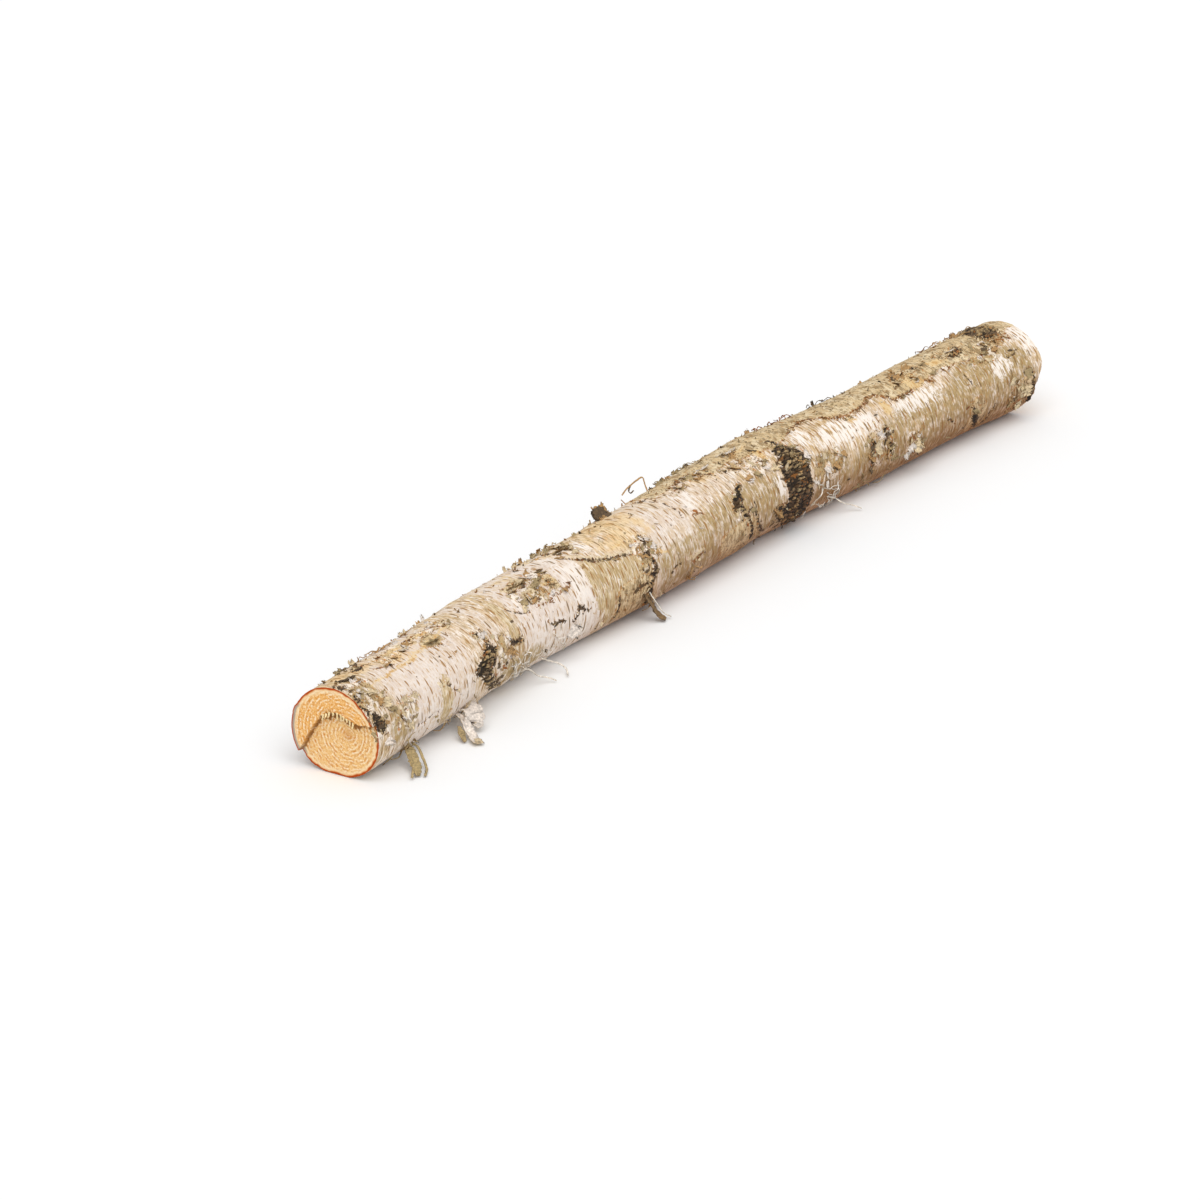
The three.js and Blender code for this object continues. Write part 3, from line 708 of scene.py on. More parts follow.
@dataclass(frozen=True)
class BirchBark:
    """White birch bark, grown, weathered and partly peeled.

    Matt layered paper: bright cream with tan streaks round the stem, short brown pores, an olive skin
    where old layers cling, and black-brown cracked bark at the branch scars.
    """

    paper: str = "#DDCEC3"
    old_paper: str = "#E9D9CA"
    fresh: str = "#E8DDD5"
    blush: str = "#DABF9B"
    cream: str = "#E6CC9C"
    bright: str = "#F8F1EA"
    ring: str = "#D0B284"
    streak: str = "#A98C58"
    line: str = "#7C5E36"
    speck: str = "#B08E5C"
    haze: str = "#B0976A"
    haze_dark: str = "#8A7046"
    gold: str = "#EBD2AA"
    gold_deep: str = "#DDB47C"
    clean: str = "#F0E7DF"
    thin: str = "#C4AC82"
    film: str = "#D2B98F"
    film_dark: str = "#967C56"
    film_light: str = "#E4D2B0"
    film_speck: str = "#5E4A2E"
    tan: str = "#E4C896"
    tan_deep: str = "#C89C60"
    rust: str = "#94602C"
    rust_dark: str = "#5E3D1E"
    torn_edge: str = "#AE7C42"
    torn_low: str = "#C0A67A"
    torn_high: str = "#F4E9DB"
    torn_line: str = "#6A4C2A"
    crumb: str = "#B87634"
    pore_pale: str = "#BE9866"
    pore: str = "#A27844"
    pore_dark: str = "#7A5E36"
    scar: str = "#54422F"
    scar_mid: str = "#705C44"
    scar_light: str = "#B89E72"
    groove: str = "#20160D"
    crack: str = "#4A3620"
    # brown of soil together with painted shade, multiplied over the underside
    soil_and_shade: str = "#B07F4C"
    roughness: float = 0.74
    specular: float = 0.3
    fray_size: float = 2.4
    relief: float = 0.0004  # m, height of the fine relief
    relief_strength: float = 0.7
    # pores: mean distance along and round the stem, half width and half length, share of empty cells
    small_pores: tuple[Pair, Pair, float] = ((4.6, 7.0), (0.6, 2.4), 0.35)
    usual_pores: tuple[Pair, Pair, float] = ((7.0, 11.0), (0.85, 4.2), 0.2)
    large_pores: tuple[Pair, Pair, float] = ((11.0, 16.0), (0.85, 4.8), 0.5)

    def coats(self, on: BarkPatterns) -> list[Coat]:
        """Coats of colour from the bare paper outwards.

        Args:
            on: Patterns of this bark.

        Returns:
            The coats, the lowest first. Sizes are in millimetres.
        """
        weather = on.value("weather", 0.0, 1.0)
        film = on.layer(Layer.FILM, 0.46, 0.54)
        thin = on.layer(Layer.THIN, 0.44, 0.58, 0.85, 0.5)
        haze = on.layer(Layer.HAZE, 0.15, 0.85)
        gold = on.layer(Layer.GOLD, 0.05, 0.95, 1.0, 0.5)
        torn = on.layer(Layer.TORN, 0.40, 0.60)
        scar = on.layer(Layer.SCAR, 0.46, 0.54, fray=0.9)
        crack = on.layer(Layer.CRACK, 0.49, 0.54, 0.9, 0.4)
        tear = on.value("tear", 0.2, 0.8)
        fresh = on.value("weather", 0.75, 0.25)
        white = on.layer(Layer.WHITE, 0.3, 0.8, 0.75, 0.8)
        clean_lines = on.lines((3.4, 16.0), 0.38, 0.50)
        aged = on.value("aged", 0.0, 1.0)
        # the finest streaks and pores are drawn about half as wide again as real ones, so that they show
        paper = [
            Coat(self.old_paper, (weather,)),
            Coat(self.blush, (on.mottle(24.0, 0.36, 0.58, 0.85), weather)),
            Coat(self.cream, (aged, on.mottle(18.0, 0.34, 0.54, 0.8))),
            Coat(self.fresh, (on.mottle(9.0, 0.46, 0.56, 0.85), fresh)),
            Coat(self.blush, (on.mottle(2.2, 0.54, 0.62, 0.5),)),
            Coat(self.ring, (on.lines((5.0, 44.0), 0.50, 0.64, 0.8), weather)),
            Coat(self.fresh, (on.lines((2.8, 12.0), 0.55, 0.62, 0.7), fresh)),
            Coat(self.bright, (on.lines((2.8, 12.0), 0.53, 0.60, 0.85), weather)),
            Coat(self.gold, (gold, on.mottle(20.0, 0.34, 0.50, 0.9))),
            Coat(self.gold_deep, (gold, on.mottle(13.0, 0.48, 0.64, 0.7))),
            Coat(self.gold_deep, (gold, on.lines((1.6, 16.0), 0.56, 0.64, 0.45))),
            Coat(self.haze, (haze, on.mottle(7.0, 0.34, 0.52, 0.92))),
            Coat(self.haze_dark, (haze, on.lines((1.6, 7.0), 0.54, 0.62, 0.5))),
            Coat(self.bright, (haze, on.lines((2.4, 9.0), 0.57, 0.64, 0.5))),
            Coat(self.streak, (on.lines((2.2, 10.0), 0.51, 0.61, 0.65), weather)),
            Coat(self.line, (on.lines((1.3, 6.0), 0.61, 0.66, 0.65), weather)),
            Coat(self.speck, (on.mottle(3.2, 0.58, 0.63, 0.6), weather)),
            Coat(self.clean, (white, clean_lines)),
            Coat(self.bright, (white, clean_lines, weather)),
            Coat(self.thin, (thin,)),
            Coat(self.film_light, (thin, on.mottle(12.0, 0.48, 0.58, 0.7))),
            Coat(self.film, (thin, on.mottle(8.0, 0.52, 0.60, 0.8))),
            Coat(self.bright, (thin, on.lines((2.0, 14.0), 0.57, 0.62, 0.6))),
            Coat(self.streak, (thin, on.lines((1.5, 9.0), 0.53, 0.60, 0.8))),
            Coat(self.film_dark, (thin, on.lines((1.3, 7.0), 0.59, 0.63, 0.7))),
            Coat(self.pore_pale, (on.pores(*self.small_pores, 0.75),)),
            Coat(self.pore, (on.pores(*self.usual_pores, 0.95),)),
            Coat(self.pore_dark, (on.pores(*self.large_pores, 0.9),)),
        ]
        layered = [
            Coat(self.torn_low, (torn, on.value("level", 0.48, 0.32, 0.9))),
            Coat(self.torn_high, (torn, on.value("level", 0.56, 0.70, 0.9))),
            Coat(self.torn_edge, (on.layer(Layer.FILM, 0.36, 0.42, 0.85), on.mottle(4.0, 0.44, 0.54))),
            Coat(self.film, (film,)),
            Coat(self.film_light, (film, on.mottle(13.0, 0.50, 0.58, 0.9))),
            Coat(self.film_dark, (film, on.mottle(8.0, 0.53, 0.60, 0.85))),
            Coat(self.film_light, (film, on.lines((1.8, 9.0), 0.58, 0.64, 0.8))),
            Coat(self.film_dark, (film, on.lines((1.5, 10.0), 0.57, 0.62, 0.7))),
            Coat(self.film_speck, (film, on.mottle(2.6, 0.59, 0.64, 0.85))),
            Coat(self.torn_edge, (film, on.mottle(3.4, 0.60, 0.65, 0.7))),
            Coat(self.tan, (on.layer(Layer.TAN, 0.36, 0.62, 0.8, 0.5),)),
            Coat(self.tan_deep, (on.layer(Layer.TAN, 0.36, 0.62, 0.85, 0.5), on.mottle(4.0, 0.50, 0.58))),
            Coat(self.torn_line, (torn, tear, on.mottle(5.0, 0.42, 0.50, 0.95))),
            Coat(self.crumb, (torn, on.mottle(3.0, 0.61, 0.65, 0.9))),
            Coat(self.rust, (on.layer(Layer.RUST, 0.52, 0.57, 0.9, 0.6), on.mottle(6.0, 0.36, 0.46))),
            Coat(self.rust_dark, (on.layer(Layer.RUST, 0.50, 0.56, 0.9, 0.6), on.mottle(3.6, 0.50, 0.56))),
            Coat(self.film_light, (on.layer(Layer.RIDGE, 0.46, 0.56, 0.6, 0.6),)),
        ]
        rough = [
            Coat(self.scar, (scar,)),
            Coat(self.scar_mid, (scar, on.value("lot", 0.38, 0.46))),
            Coat(self.scar_light, (scar, on.value("lot", 0.54, 0.64, 0.9), on.mottle(2.6, 0.42, 0.52))),
            Coat(self.crumb, (scar, on.mottle(2.4, 0.61, 0.66, 0.8))),
            Coat(self.groove, (scar, on.value("groove", 0.25, 0.75, 0.95))),
            Coat(self.crack, (crack, on.mottle(6.0, 0.38, 0.46))),
            Coat(self.rust, (crack, on.mottle(4.0, 0.56, 0.62))),
        ]
        return paper + layered + rough

    def build(self) -> Material:
        """Make the material.

        Returns:
            The new material, which reads the bark's layers from the mesh.
        """
        material, tree, shader = matt("birch_bark", self.roughness, self.specular)
        on = BarkPatterns(tree, self.fray_size)
        colour = lay_coats(tree, self.paper, self.coats(on))
        # soil and painted shade: the underside is multiplied browner
        settings = {"data_type": "RGBA", "blend_type": "MULTIPLY", 7: linear(self.soil_and_shade)}
        soiled_and_shaded = add(tree, "Mix", settings, in_0=on.value("soil_and_shade", 0, 1), in_6=colour).outputs[2]
        tree.links.new(soiled_and_shaded, shader.inputs["Base Color"])
        fine = on.lines((0.8, 4.0), 0.2, 0.8)
        sunk = on.pores(*self.usual_pores)
        grit = on.mottle(1.4, 0, 1)
        height = add(tree, "Math", {"operation": "SUBTRACT"}, in_0=fine, in_1=sunk).outputs[0]
        height = add(tree, "Math", {"operation": "ADD"}, in_0=height, in_1=grit).outputs[0]
        settings = {"Strength": self.relief_strength, "Distance": self.relief}
        bump = add(tree, "Bump", settings, Height=height)
        tree.links.new(bump.outputs["Normal"], shader.inputs["Normal"])
        return material


@dataclass(frozen=True)
class SawnBirch:
    """Fresh birch end grain, cut with a coarse chain saw.

    Warm yellow-orange wood with pale year rings round an off-centre pith, fuzzy saw marks and a rust-red
    rim of inner bark.
    """

    wood: str = "#EDC282"
    amber: str = "#EAAE5E"
    deep: str = "#CE7A1E"
    light: str = "#FCEBCA"
    ring: str = "#C88A40"
    pale: str = "#F8E4BC"
    heart: str = "#C27C34"
    bast: str = "#D88A3A"
    rim: str = "#B34A0C"
    grey: str = "#A0978C"
    # painted shade on the saw step's wall and in a band under its edge; also the real scuffs above the step
    shade: str = "#8E5A22"
    # sizes in millimetres
    rim_width: float = 1.4
    ring_pitch: float = 3.2  # drawn wider than they grew, so that they show
    stray: float = 4.0  # how far a ring strays from a circle
    stray_size: float = 11.0
    grit: float = 1.9  # torn fibre ends
    blotch_size: float = 5.0
    roughness: float = 0.85
    specular: float = 0.2
    relief: float = 0.0006  # m, height of the torn fibre ends
    relief_strength: float = 0.8

    def build(self) -> Material:
        """Make the material.

        Returns:
            The new material, which reads places on the cut from the mesh.
        """
        material, tree, shader = matt("sawn_birch", self.roughness, self.specular)
        names = ("cut_place", "rim", "torn", "grey", "low")
        reads = [add(tree, "Attribute", {"attribute_name": name}) for name in names]
        place = reads[0].outputs["Vector"]
        rim, torn, grey, low_cut = (read.outputs["Fac"] for read in reads[1:])
        settings = {"Scale": 1 / self.stray_size, "Detail": 2.0}
        wobble = add(tree, "TexNoise", settings, Vector=place).outputs["Fac"]
        reach = add(tree, "VectorMath", {"operation": "LENGTH"}, in_0=place).outputs["Value"]
        settings = {"operation": "MULTIPLY_ADD", 1: self.stray}
        bent = add(tree, "Math", settings, in_0=wobble, in_2=reach).outputs[0]
        settings = {"operation": "MULTIPLY", 1: 2 * math.pi / self.ring_pitch}
        wave = add(tree, "Math", settings, in_0=bent).outputs[0]
        rings = add(tree, "Math", {"operation": "SINE"}, in_0=wave).outputs[0]
        settings = {"Scale": 1 / self.grit, "Detail": 5.0, "Roughness": 0.75}
        fuzz = add(tree, "TexNoise", settings, Vector=place).outputs["Fac"]
        settings = {"Scale": 1 / self.blotch_size, "Detail": 3.0}
        blotch = add(tree, "TexNoise", settings, Vector=place).outputs["Fac"]
        settings = {"From Min": 0.42, "From Max": 0.62}
        worn = add(tree, "MapRange", settings, Value=blotch).outputs["Result"]
        arcs = add(tree, "Math", {"operation": "MULTIPLY"}, in_0=rings, in_1=worn).outputs[0]
        # colour, what it follows, values with no cover and full cover, and the most that it covers
        spreads = (
            (self.amber, low_cut, 0.6, 0.0, 0.7),
            (self.deep, blotch, 0.52, 0.66, 0.45),
            (self.light, arcs, 0.14, 0.5, 0.7),
            (self.ring, arcs, -0.14, -0.5, 0.5),
            (self.light, fuzz, 0.46, 0.37, 0.9),
            (self.deep, fuzz, 0.54, 0.63, 0.9),
            (self.pale, rim, 5.4, 3.0, 0.7),
            (self.heart, reach, 7.0, 0.5, 0.5),
            (self.bast, rim, 2.8, 1.6, 0.7),
            (self.rim, rim, self.rim_width + 0.3, self.rim_width - 0.3, 1.0),
            (self.grey, grey, 0.0, 1.0, 0.85),
            # painted shade of the saw step, and the scuffs above it
            (self.shade, torn, 0.0, 1.0, 0.9),
        )
        coats = []
        for colour, source, low, high, most in spreads:
            spread = {"From Min": low, "From Max": high, "To Max": most}
            cover = add(tree, "MapRange", spread, Value=source).outputs["Result"]
            coats.append(Coat(colour, (cover,)))
        tree.links.new(lay_coats(tree, self.wood, coats), shader.inputs["Base Color"])
        settings = {"Strength": self.relief_strength, "Distance": self.relief}
        bump = add(tree, "Bump", settings, Height=fuzz)
        tree.links.new(bump.outputs["Normal"], shader.inputs["Normal"])
        return material


@dataclass(frozen=True)
class LoosePaper:
    """Birch bark paper, torn and curled.

    Thin matt sheets that are pale outside and tan inside, with fine fibre lines.
    """

    roughness: float = 0.75
    specular: float = 0.5
    fibre: float = 1.8  # mm
    shades: Pair = (0.6, 1.12)  # darkest and brightest fibre against the sheet's tint

    def build(self) -> Material:
        """Make the material.

        Returns:
            The new material, which reads each sheet's tint from the mesh.
        """
        material, tree, shader = matt("loose_birch_paper", self.roughness, self.specular)
        tint = add(tree, "Attribute", {"attribute_name": "tint"}).outputs["Color"]
        where = add(tree, "NewGeometry", {}).outputs["Position"]
        settings = {"Scale": 1 / (self.fibre * MM), "Detail": 3.0}
        fibre = add(tree, "TexNoise", settings, Vector=where).outputs["Fac"]
        darkest, brightest = self.shades
        spread = {"From Min": 0.3, "From Max": 0.7, "To Min": darkest, "To Max": brightest}
        shade = add(tree, "MapRange", spread, Value=fibre).outputs["Result"]
        scaled = add(tree, "VectorMath", {"operation": "SCALE"}, in_0=tint, Scale=shade).outputs[0]
        tree.links.new(scaled, shader.inputs["Base Color"])
        return material


@dataclass
class BarkStem:
    """The bark of the stem as a fine skin in four lengths; lengths and heights in millimetres."""

    stem: Stem
    cuts: SawCuts
    finish: BirchBark
    sawn_length: float = 990.0
    rows: int = 992
    columns: int = 360
    lengths: int = 4
    near_fade: float = 25.0  # from the near cut, over which the rows come straight
    far_fade: float = 40.0  # the same from the far cut
    reach: float = 4.0  # to either side of a layer's edge that its depth is graded over
    spread: float = 14.0  # round a mark that is worked out
    corners: int = 3  # how square a patch is; 2 would make it an ellipse
    # how far the outlines of the marks stray along and round the stem
    ragged_s: Lumps = ((1, 13.0, 2.8), (2, 4.5, 1.3), (3, 2.0, 0.5))
    ragged_turn: Lumps = ((41, 13.0, 2.8), (42, 4.5, 1.3), (43, 2.0, 0.5))
    fray: Lumps = ((11, 3.0, 1.2),)
    waves: Lumps = ((12, 30.0, 0.4), (13, (2.2, 26.0, 26.0), 0.2), (14, 3.0, 0.16))
    # the old olive skin
    film_height: float = 0.4
    film_lip: Triple = (0.3, 0.8, 1.1)  # height, distance from the edge, half width
    film_rough: Lumps = ((16, 4.0, 0.3),)
    film_patchy: Lumps = ((5, 34.0, 9.0), (6, 14.0, 4.0))
    film_windows: Lumps = ((45, (46.0, 24.0, 24.0), 60.0),)
    film_whole: float = 8.0  # depth that it has where there is no window in it
    film_sparse: float = 3.0  # taken off its patches on the back
    film_bare: float = 20.0  # taken off them on the front
    start_fade: Pair = (-30, -50)  # turns over which its start frays more
    window_fade: Pair = (-44, -62)  # over which its windows open
    patch_fade: Pair = (-70, -42)  # over which its patches on the back end
    # rough bark
    plate_size: Triple = (10.0, 2.8, 2.8)
    crumb_size: Triple = (3.6, 1.7, 1.7)
    plate_seed: int = 10
    crumb_seed: int = 19
    plate_bend: Lumps = ((7, 6.0, 1.6), (8, 6.0, 1.6), (9, 6.0, 1.6))
    plate_height: float = 1.2  # where no scar stands higher
    plate_shares: Pair = (0.3, 0.8)  # of a scar's height, for every plate and by its lot
    crumb_share: float = 0.25  # of that height, for the crumbs on the plates
    crumb_lot: float = 0.3  # share of a crumb's own lot in its colour
    # paper torn off in layers
    torn_lumps: Lumps = ((31, (6.0, 8.0, 8.0), 0.7), (32, (2.4, 4.0, 4.0), 0.5))
    torn_layers: float = 3.2  # to a height of 1 of the lumps
    torn_most: float = 2.4  # layers up or down
    torn_step: float = 0.5  # thickness of a layer
    torn_shade: float = 0.16  # level of a layer over the next
    peeled_depth: float = 0.2
    ridge_height: float = 0.9
    rust_height: float = 0.6
    rust_lumps: Lumps = ((15, 4.0, 1.0),)
    crack_depth: float = 0.9
    # s, and how streaked the paper is there
    weathered: Pairs = (
        (0, 0.9), (28, 0.8), (50, 0.1), (140, 0.1), (148, 0.8), (170, 0.8),
        (184, 0.2), (202, 0.8), (216, 0.8), (224, 0.1), (320, 0.1), (332, 0.7),
        (395, 0.8), (415, 0.3), (450, 0.3), (520, 0.7), (650, 0.8), (990, 0.9),
    )
    weather_sway: Lumps = ((46, 34.0, 14.0),)
    weather_spots: Lumps = ((17, 36.0, 0.22),)
    aged_turn: float = -30.0  # middle of the yellowed band
    aged_band: Pair = (54, 6)  # degrees from its middle where it ends and is full
    aged_spots: Lumps = ((20, 24.0, 0.3),)
    # s, and how brown the front of the underside is painted there, as soil and painted shade
    soiled_and_shaded: Pairs = ((0, 0.0), (280, 0.0), (400, 0.75), (700, 0.8), (900, 0.85), (990, 0.75))
    soil_and_shade_turns: Pair = (62, 132)  # turns where the brown begins and is full
    soil_and_shade_sway: Lumps = ((18, 30.0, 8.0),)
    back_soil_and_shade: float = 0.5

    def lay_out(self) -> None:
        """Set out the grid of places on the bark, from one sawn rim to the other."""
        row = np.linspace(0, self.sawn_length, self.rows + 1)[:, None]
        turn = np.linspace(-180, 180, self.columns + 1)
        self.turn = np.broadcast_to(turn, (self.rows + 1, self.columns + 1))
        angle = np.radians(self.turn)
        near = self.stem.clear_radius(0.0, turn)
        far = self.stem.clear_radius(self.sawn_length, turn) * np.cos(angle[0])
        start = self.cuts.near(near * np.sin(angle[0]), near * np.cos(angle[0]))
        end = self.cuts.far(far) - self.sawn_length
        start = start * np.clip(1 - row / self.near_fade, 0, 1)
        end = end * np.clip(1 + (row - self.sawn_length) / self.far_fade, 0, 1)
        self.s = row + start + end
        self.per_degree = self.stem.arc(1)
        around = self.stem.mean_radius * np.stack([np.cos(angle), np.sin(angle)], axis=-1)
        self.straight = np.concatenate([self.s[..., None], around], axis=-1)

    def warp(self) -> None:
        """Ragged places, which give the marks on the bark torn outlines."""
        self.torn_s = self.s + lumps(self.straight, self.ragged_s)
        self.torn_turn = self.turn + lumps(self.straight, self.ragged_turn) / self.per_degree

    def window(self, s0: float, s1: float) -> slice:
        """Rows of the grid near a stretch of the stem."""
        return slice(max(0, int(s0 - self.spread)), min(self.rows + 1, int(s1 + self.spread) + 1))

    @staticmethod
    def wrapped(turn: Array) -> Array:
        """Turn brought to between -180 and 180."""
        return (turn + 180) % 360 - 180

    def inside(self, layer: Layer) -> Array:
        """Measure how far each place lies inside the marks of a layer.

        Args:
            layer: The layer.

        Returns:
            Signed distance to the edge of its marks, above 0 inside them.
        """
        depth = np.full(self.s.shape, -self.spread)
        for s0, s1, turn0, turn1 in PATCHES.get(layer, ()):
            rows = self.window(s0, s1)
            half = ((s1 - s0) / 2, (turn1 - turn0) / 2 * self.per_degree)
            ds = np.abs(self.torn_s[rows] - (s0 + s1) / 2) / half[0]
            dt = np.abs(self.wrapped(self.torn_turn[rows] - (turn0 + turn1) / 2)) * self.per_degree / half[1]
            here = (1 - (ds**self.corners + dt**self.corners) ** (1 / self.corners)) * min(half)
            depth[rows] = np.maximum(depth[rows], here)
        for stroke in STROKES.get(layer, ()):
            rows = self.window(min(p[0] for p in stroke), max(p[0] for p in stroke))
            s = self.torn_s[rows]
            arc = self.wrapped(self.torn_turn[rows] - stroke[0][1]) * self.per_degree
            for (s0, turn0, wide0), (s1, turn1, wide1) in zip(stroke, stroke[1:]):
                c0, c1 = (turn0 - stroke[0][1]) * self.per_degree, (turn1 - stroke[0][1]) * self.per_degree
                ds, dc = s1 - s0, c1 - c0
                t = np.clip(((s - s0) * ds + (arc - c0) * dc) / (ds * ds + dc * dc), 0, 1)
                here = wide0 + t * (wide1 - wide0) - np.hypot(s - s0 - t * ds, arc - c0 - t * dc)
                depth[rows] = np.maximum(depth[rows], here)
        return depth

    def film(self) -> Array:
        """Measure the old olive skin, which covers the top of the far half and clings in patches behind.

        Returns:
            Signed distance to its edge, above 0 inside it.
        """
        s, edge = zip(*TOP_FILM_EDGE)
        front = (np.interp(self.torn_s, s, edge) - self.torn_turn) * self.per_degree
        patchy = lumps(self.straight, self.film_patchy)
        back = (self.torn_turn - TOP_FILM_BACK) * self.per_degree + patchy
        start = self.torn_s - s[0] + 2.0 * patchy * smooth(*self.start_fade, self.turn)
        gaps = lumps(self.straight, self.film_windows) * smooth(*self.window_fade, self.turn)
        windows = self.film_whole - gaps + 0.5 * patchy
        top = np.minimum(np.minimum(front, back), np.minimum(start, windows))
        hidden = patchy - self.film_sparse - self.film_bare * smooth(*self.patch_fade, self.turn)
        return np.maximum(np.maximum(self.inside(Layer.FILM), top), hidden)

    def scar_relief(self, cover: Array) -> tuple[Array, Array, Array]:
        """Cracked plates of the rough bark.

        Args:
            cover: Signed distance to the edge of the rough bark.

        Returns:
            Height, share of groove from 0 to 1, and a number from 0 to 1 per plate.
        """
        tall = np.full(self.s.shape, self.plate_height)
        for s, turn, along, around, height in SCARS:
            arc = self.wrapped(self.turn - turn) * self.per_degree
            away = np.hypot((self.s - s) / along, arc / around)
            tall = np.maximum(tall, height * smooth(1.7, 0.7, away))
        height, groove, lots = (np.zeros(self.s.shape) for _ in range(3))
        near = cover > -2.0
        bent = self.straight + np.stack([lumps(self.straight, (row,)) for row in self.plate_bend], axis=-1)
        crack, lot = Grain(self.plate_seed).plates(bent[near], self.plate_size)
        chip, chip_lot = Grain(self.crumb_seed).plates(bent[near], self.crumb_size)
        share = smooth(-0.8, 1.2, cover[near])
        least, by_lot = self.plate_shares
        rough = (least + by_lot * lot) * smooth(0.02, 0.3, crack)
        rough += self.crumb_share * (chip_lot - 0.5) * smooth(0.0, 0.3, chip)
        height[near] = share * tall[near] * rough
        groove[near] = share * np.maximum(smooth(0.26, 0.06, crack), 0.4 * smooth(0.14, 0.02, chip))
        lots[near] = (1 - self.crumb_lot) * lot + self.crumb_lot * chip_lot
        return height, groove, lots

    def torn_relief(self, cover: Array) -> tuple[Array, Array, Array]:
        """Steps where paper is torn off layer by layer.

        Args:
            cover: Signed distance to the edge of the ragged paper.

        Returns:
            Height, share of torn edge from 0 to 1, and level of the layer from 0 to 1.
        """
        level = self.torn_layers * lumps(self.straight, self.torn_lumps)
        level = np.clip(level, -self.torn_most, self.torn_most)
        whole = np.floor(level + 0.5)
        part = level - whole
        share = smooth(-1.5, 1.0, cover)
        steep = 0.5 * np.sign(part) * smooth(0.3, 0.5, np.abs(part))
        tear = smooth(0.33, 0.47, np.abs(part)) * share
        return self.torn_step * (whole + steep) * share, tear, 0.5 + self.torn_shade * whole

    def relief(self, depth: dict[Layer, Array]) -> tuple[Array, dict[str, Array]]:
        """Work out how high the bark stands over the clear stem.

        Args:
            depth: Signed distance to the edge of each layer.

        Returns:
            Height, and what the relief leaves for the finish to show.
        """
        film = depth[Layer.FILM]
        fray = lumps(self.straight, self.fray)
        scar, groove, lot = self.scar_relief(depth[Layer.SCAR] + fray)
        torn, tear, level = self.torn_relief(depth[Layer.TORN])
        lip, at, half = self.film_lip
        height = self.stem.ring_height(self.s) + scar + torn
        height += lumps(self.straight, self.waves)
        height += self.film_height * smooth(-0.8, 0.5, film + fray)
        height += lip * np.exp(-(((film - at) / half) ** 2))
        height += smooth(0, 1.5, film) * lumps(self.straight, self.film_rough)
        height -= self.peeled_depth * smooth(-1, 1, np.maximum(depth[Layer.WHITE], depth[Layer.GOLD]))
        height += self.ridge_height * smooth(-1.2, 0.8, depth[Layer.RIDGE])
        crust = self.rust_height * smooth(-0.8, 0.8, depth[Layer.RUST] + fray)
        height += crust * (0.5 + lumps(self.straight, self.rust_lumps))
        height -= self.crack_depth * smooth(-1.0, 0.6, depth[Layer.CRACK])
        return height, {"groove": groove, "lot": lot, "tear": tear, "level": level}

    def weather(self) -> Array:
        """Work out how streaked the paper is, more at some rings and towards the far end.

        Returns:
            Share from 0 to 1.
        """
        s, share = zip(*self.weathered)
        bent = self.s + lumps(self.straight, self.weather_sway) * smooth(30, -30, self.turn)
        return np.clip(np.interp(bent, s, share) + lumps(self.straight, self.weather_spots), 0, 1)

    def aged(self) -> Array:
        """How yellowed the paper is, from 0 to 1, most along the top."""
        band = smooth(*self.aged_band, np.abs(self.turn - self.aged_turn))
        return np.clip(band + lumps(self.straight, self.aged_spots), 0, 1)

    def soil_and_shade(self) -> Array:
        """Work out how brown the underside is painted, as soil from lying on the ground and as painted shade.

        Returns:
            Share from 0 to 1.
        """
        s, share = zip(*self.soiled_and_shaded)
        under = smooth(*self.soil_and_shade_turns, np.abs(self.turn + lumps(self.straight, self.soil_and_shade_sway)))
        return np.where(self.turn > 0, under * np.interp(self.s, s, share), under * self.back_soil_and_shade)

    def normals(self, points: Array) -> Array:
        """Find the directions out of the bark, the same on both sides of a join between lengths.

        Args:
            points: Corners of the whole bark, as (rows, columns, 3).

        Returns:
            Directions of length 1, in the same order.
        """
        along = np.gradient(points, axis=0)
        closed = np.concatenate([points[:, -2:-1], points, points[:, 1:2]], axis=1)
        out = np.cross(along, closed[:, 2:] - closed[:, :-2])
        middle = points.mean(axis=1, keepdims=True)
        out *= np.where(np.sum(out * (points - middle), axis=-1, keepdims=True) < 0, -1, 1)
        return unit(out)

    def build(self) -> list[Object]:
        """Build and dress the bark.

        Returns:
            The lengths of bark, from the near end to the far one.
        """
        self.lay_out()
        self.warp()
        depth = {layer: self.inside(layer) for layer in Layer}
        depth[Layer.FILM] = self.film()
        height, marks = self.relief(depth)
        points = self.stem.point(self.s, self.turn, self.stem.clear_radius(self.s, self.turn) + height)
        points[..., 2] = np.maximum(points[..., 2], 0)
        self.rim_near = points[0]
        self.rim_far = points[-1]
        marks |= {layer.value: np.clip(0.5 + depth[layer] / (2 * self.reach), 0, 1) for layer in Layer}
        marks |= {"weather": self.weather(), "aged": self.aged(), "soil_and_shade": self.soil_and_shade()}
        place = np.stack([self.s, self.turn * self.per_degree, 0 * self.s], axis=-1)
        vectors = {"place": place, "straight": self.straight}
        normals = self.normals(points)
        material = self.finish.build()
        step = self.rows // self.lengths
        faces = grid_faces(step + 1, self.columns + 1)[:, ::-1]
        pieces = []
        for part in range(self.lengths):
            rows = slice(part * step, (part + 1) * step + 1)
            piece = mesh_piece(f"bark_{part + 1}", points[rows].reshape(-1, 3), faces, material)
            for name, values in marks.items():
                mark(piece, name, values[rows].ravel())
            for name, values in vectors.items():
                mark(piece, name, values[rows].reshape(-1, 3))
            piece.data.normals_split_custom_set_from_vertices(normals[rows].reshape(-1, 3).tolist())
            pieces.append(piece)
        return pieces


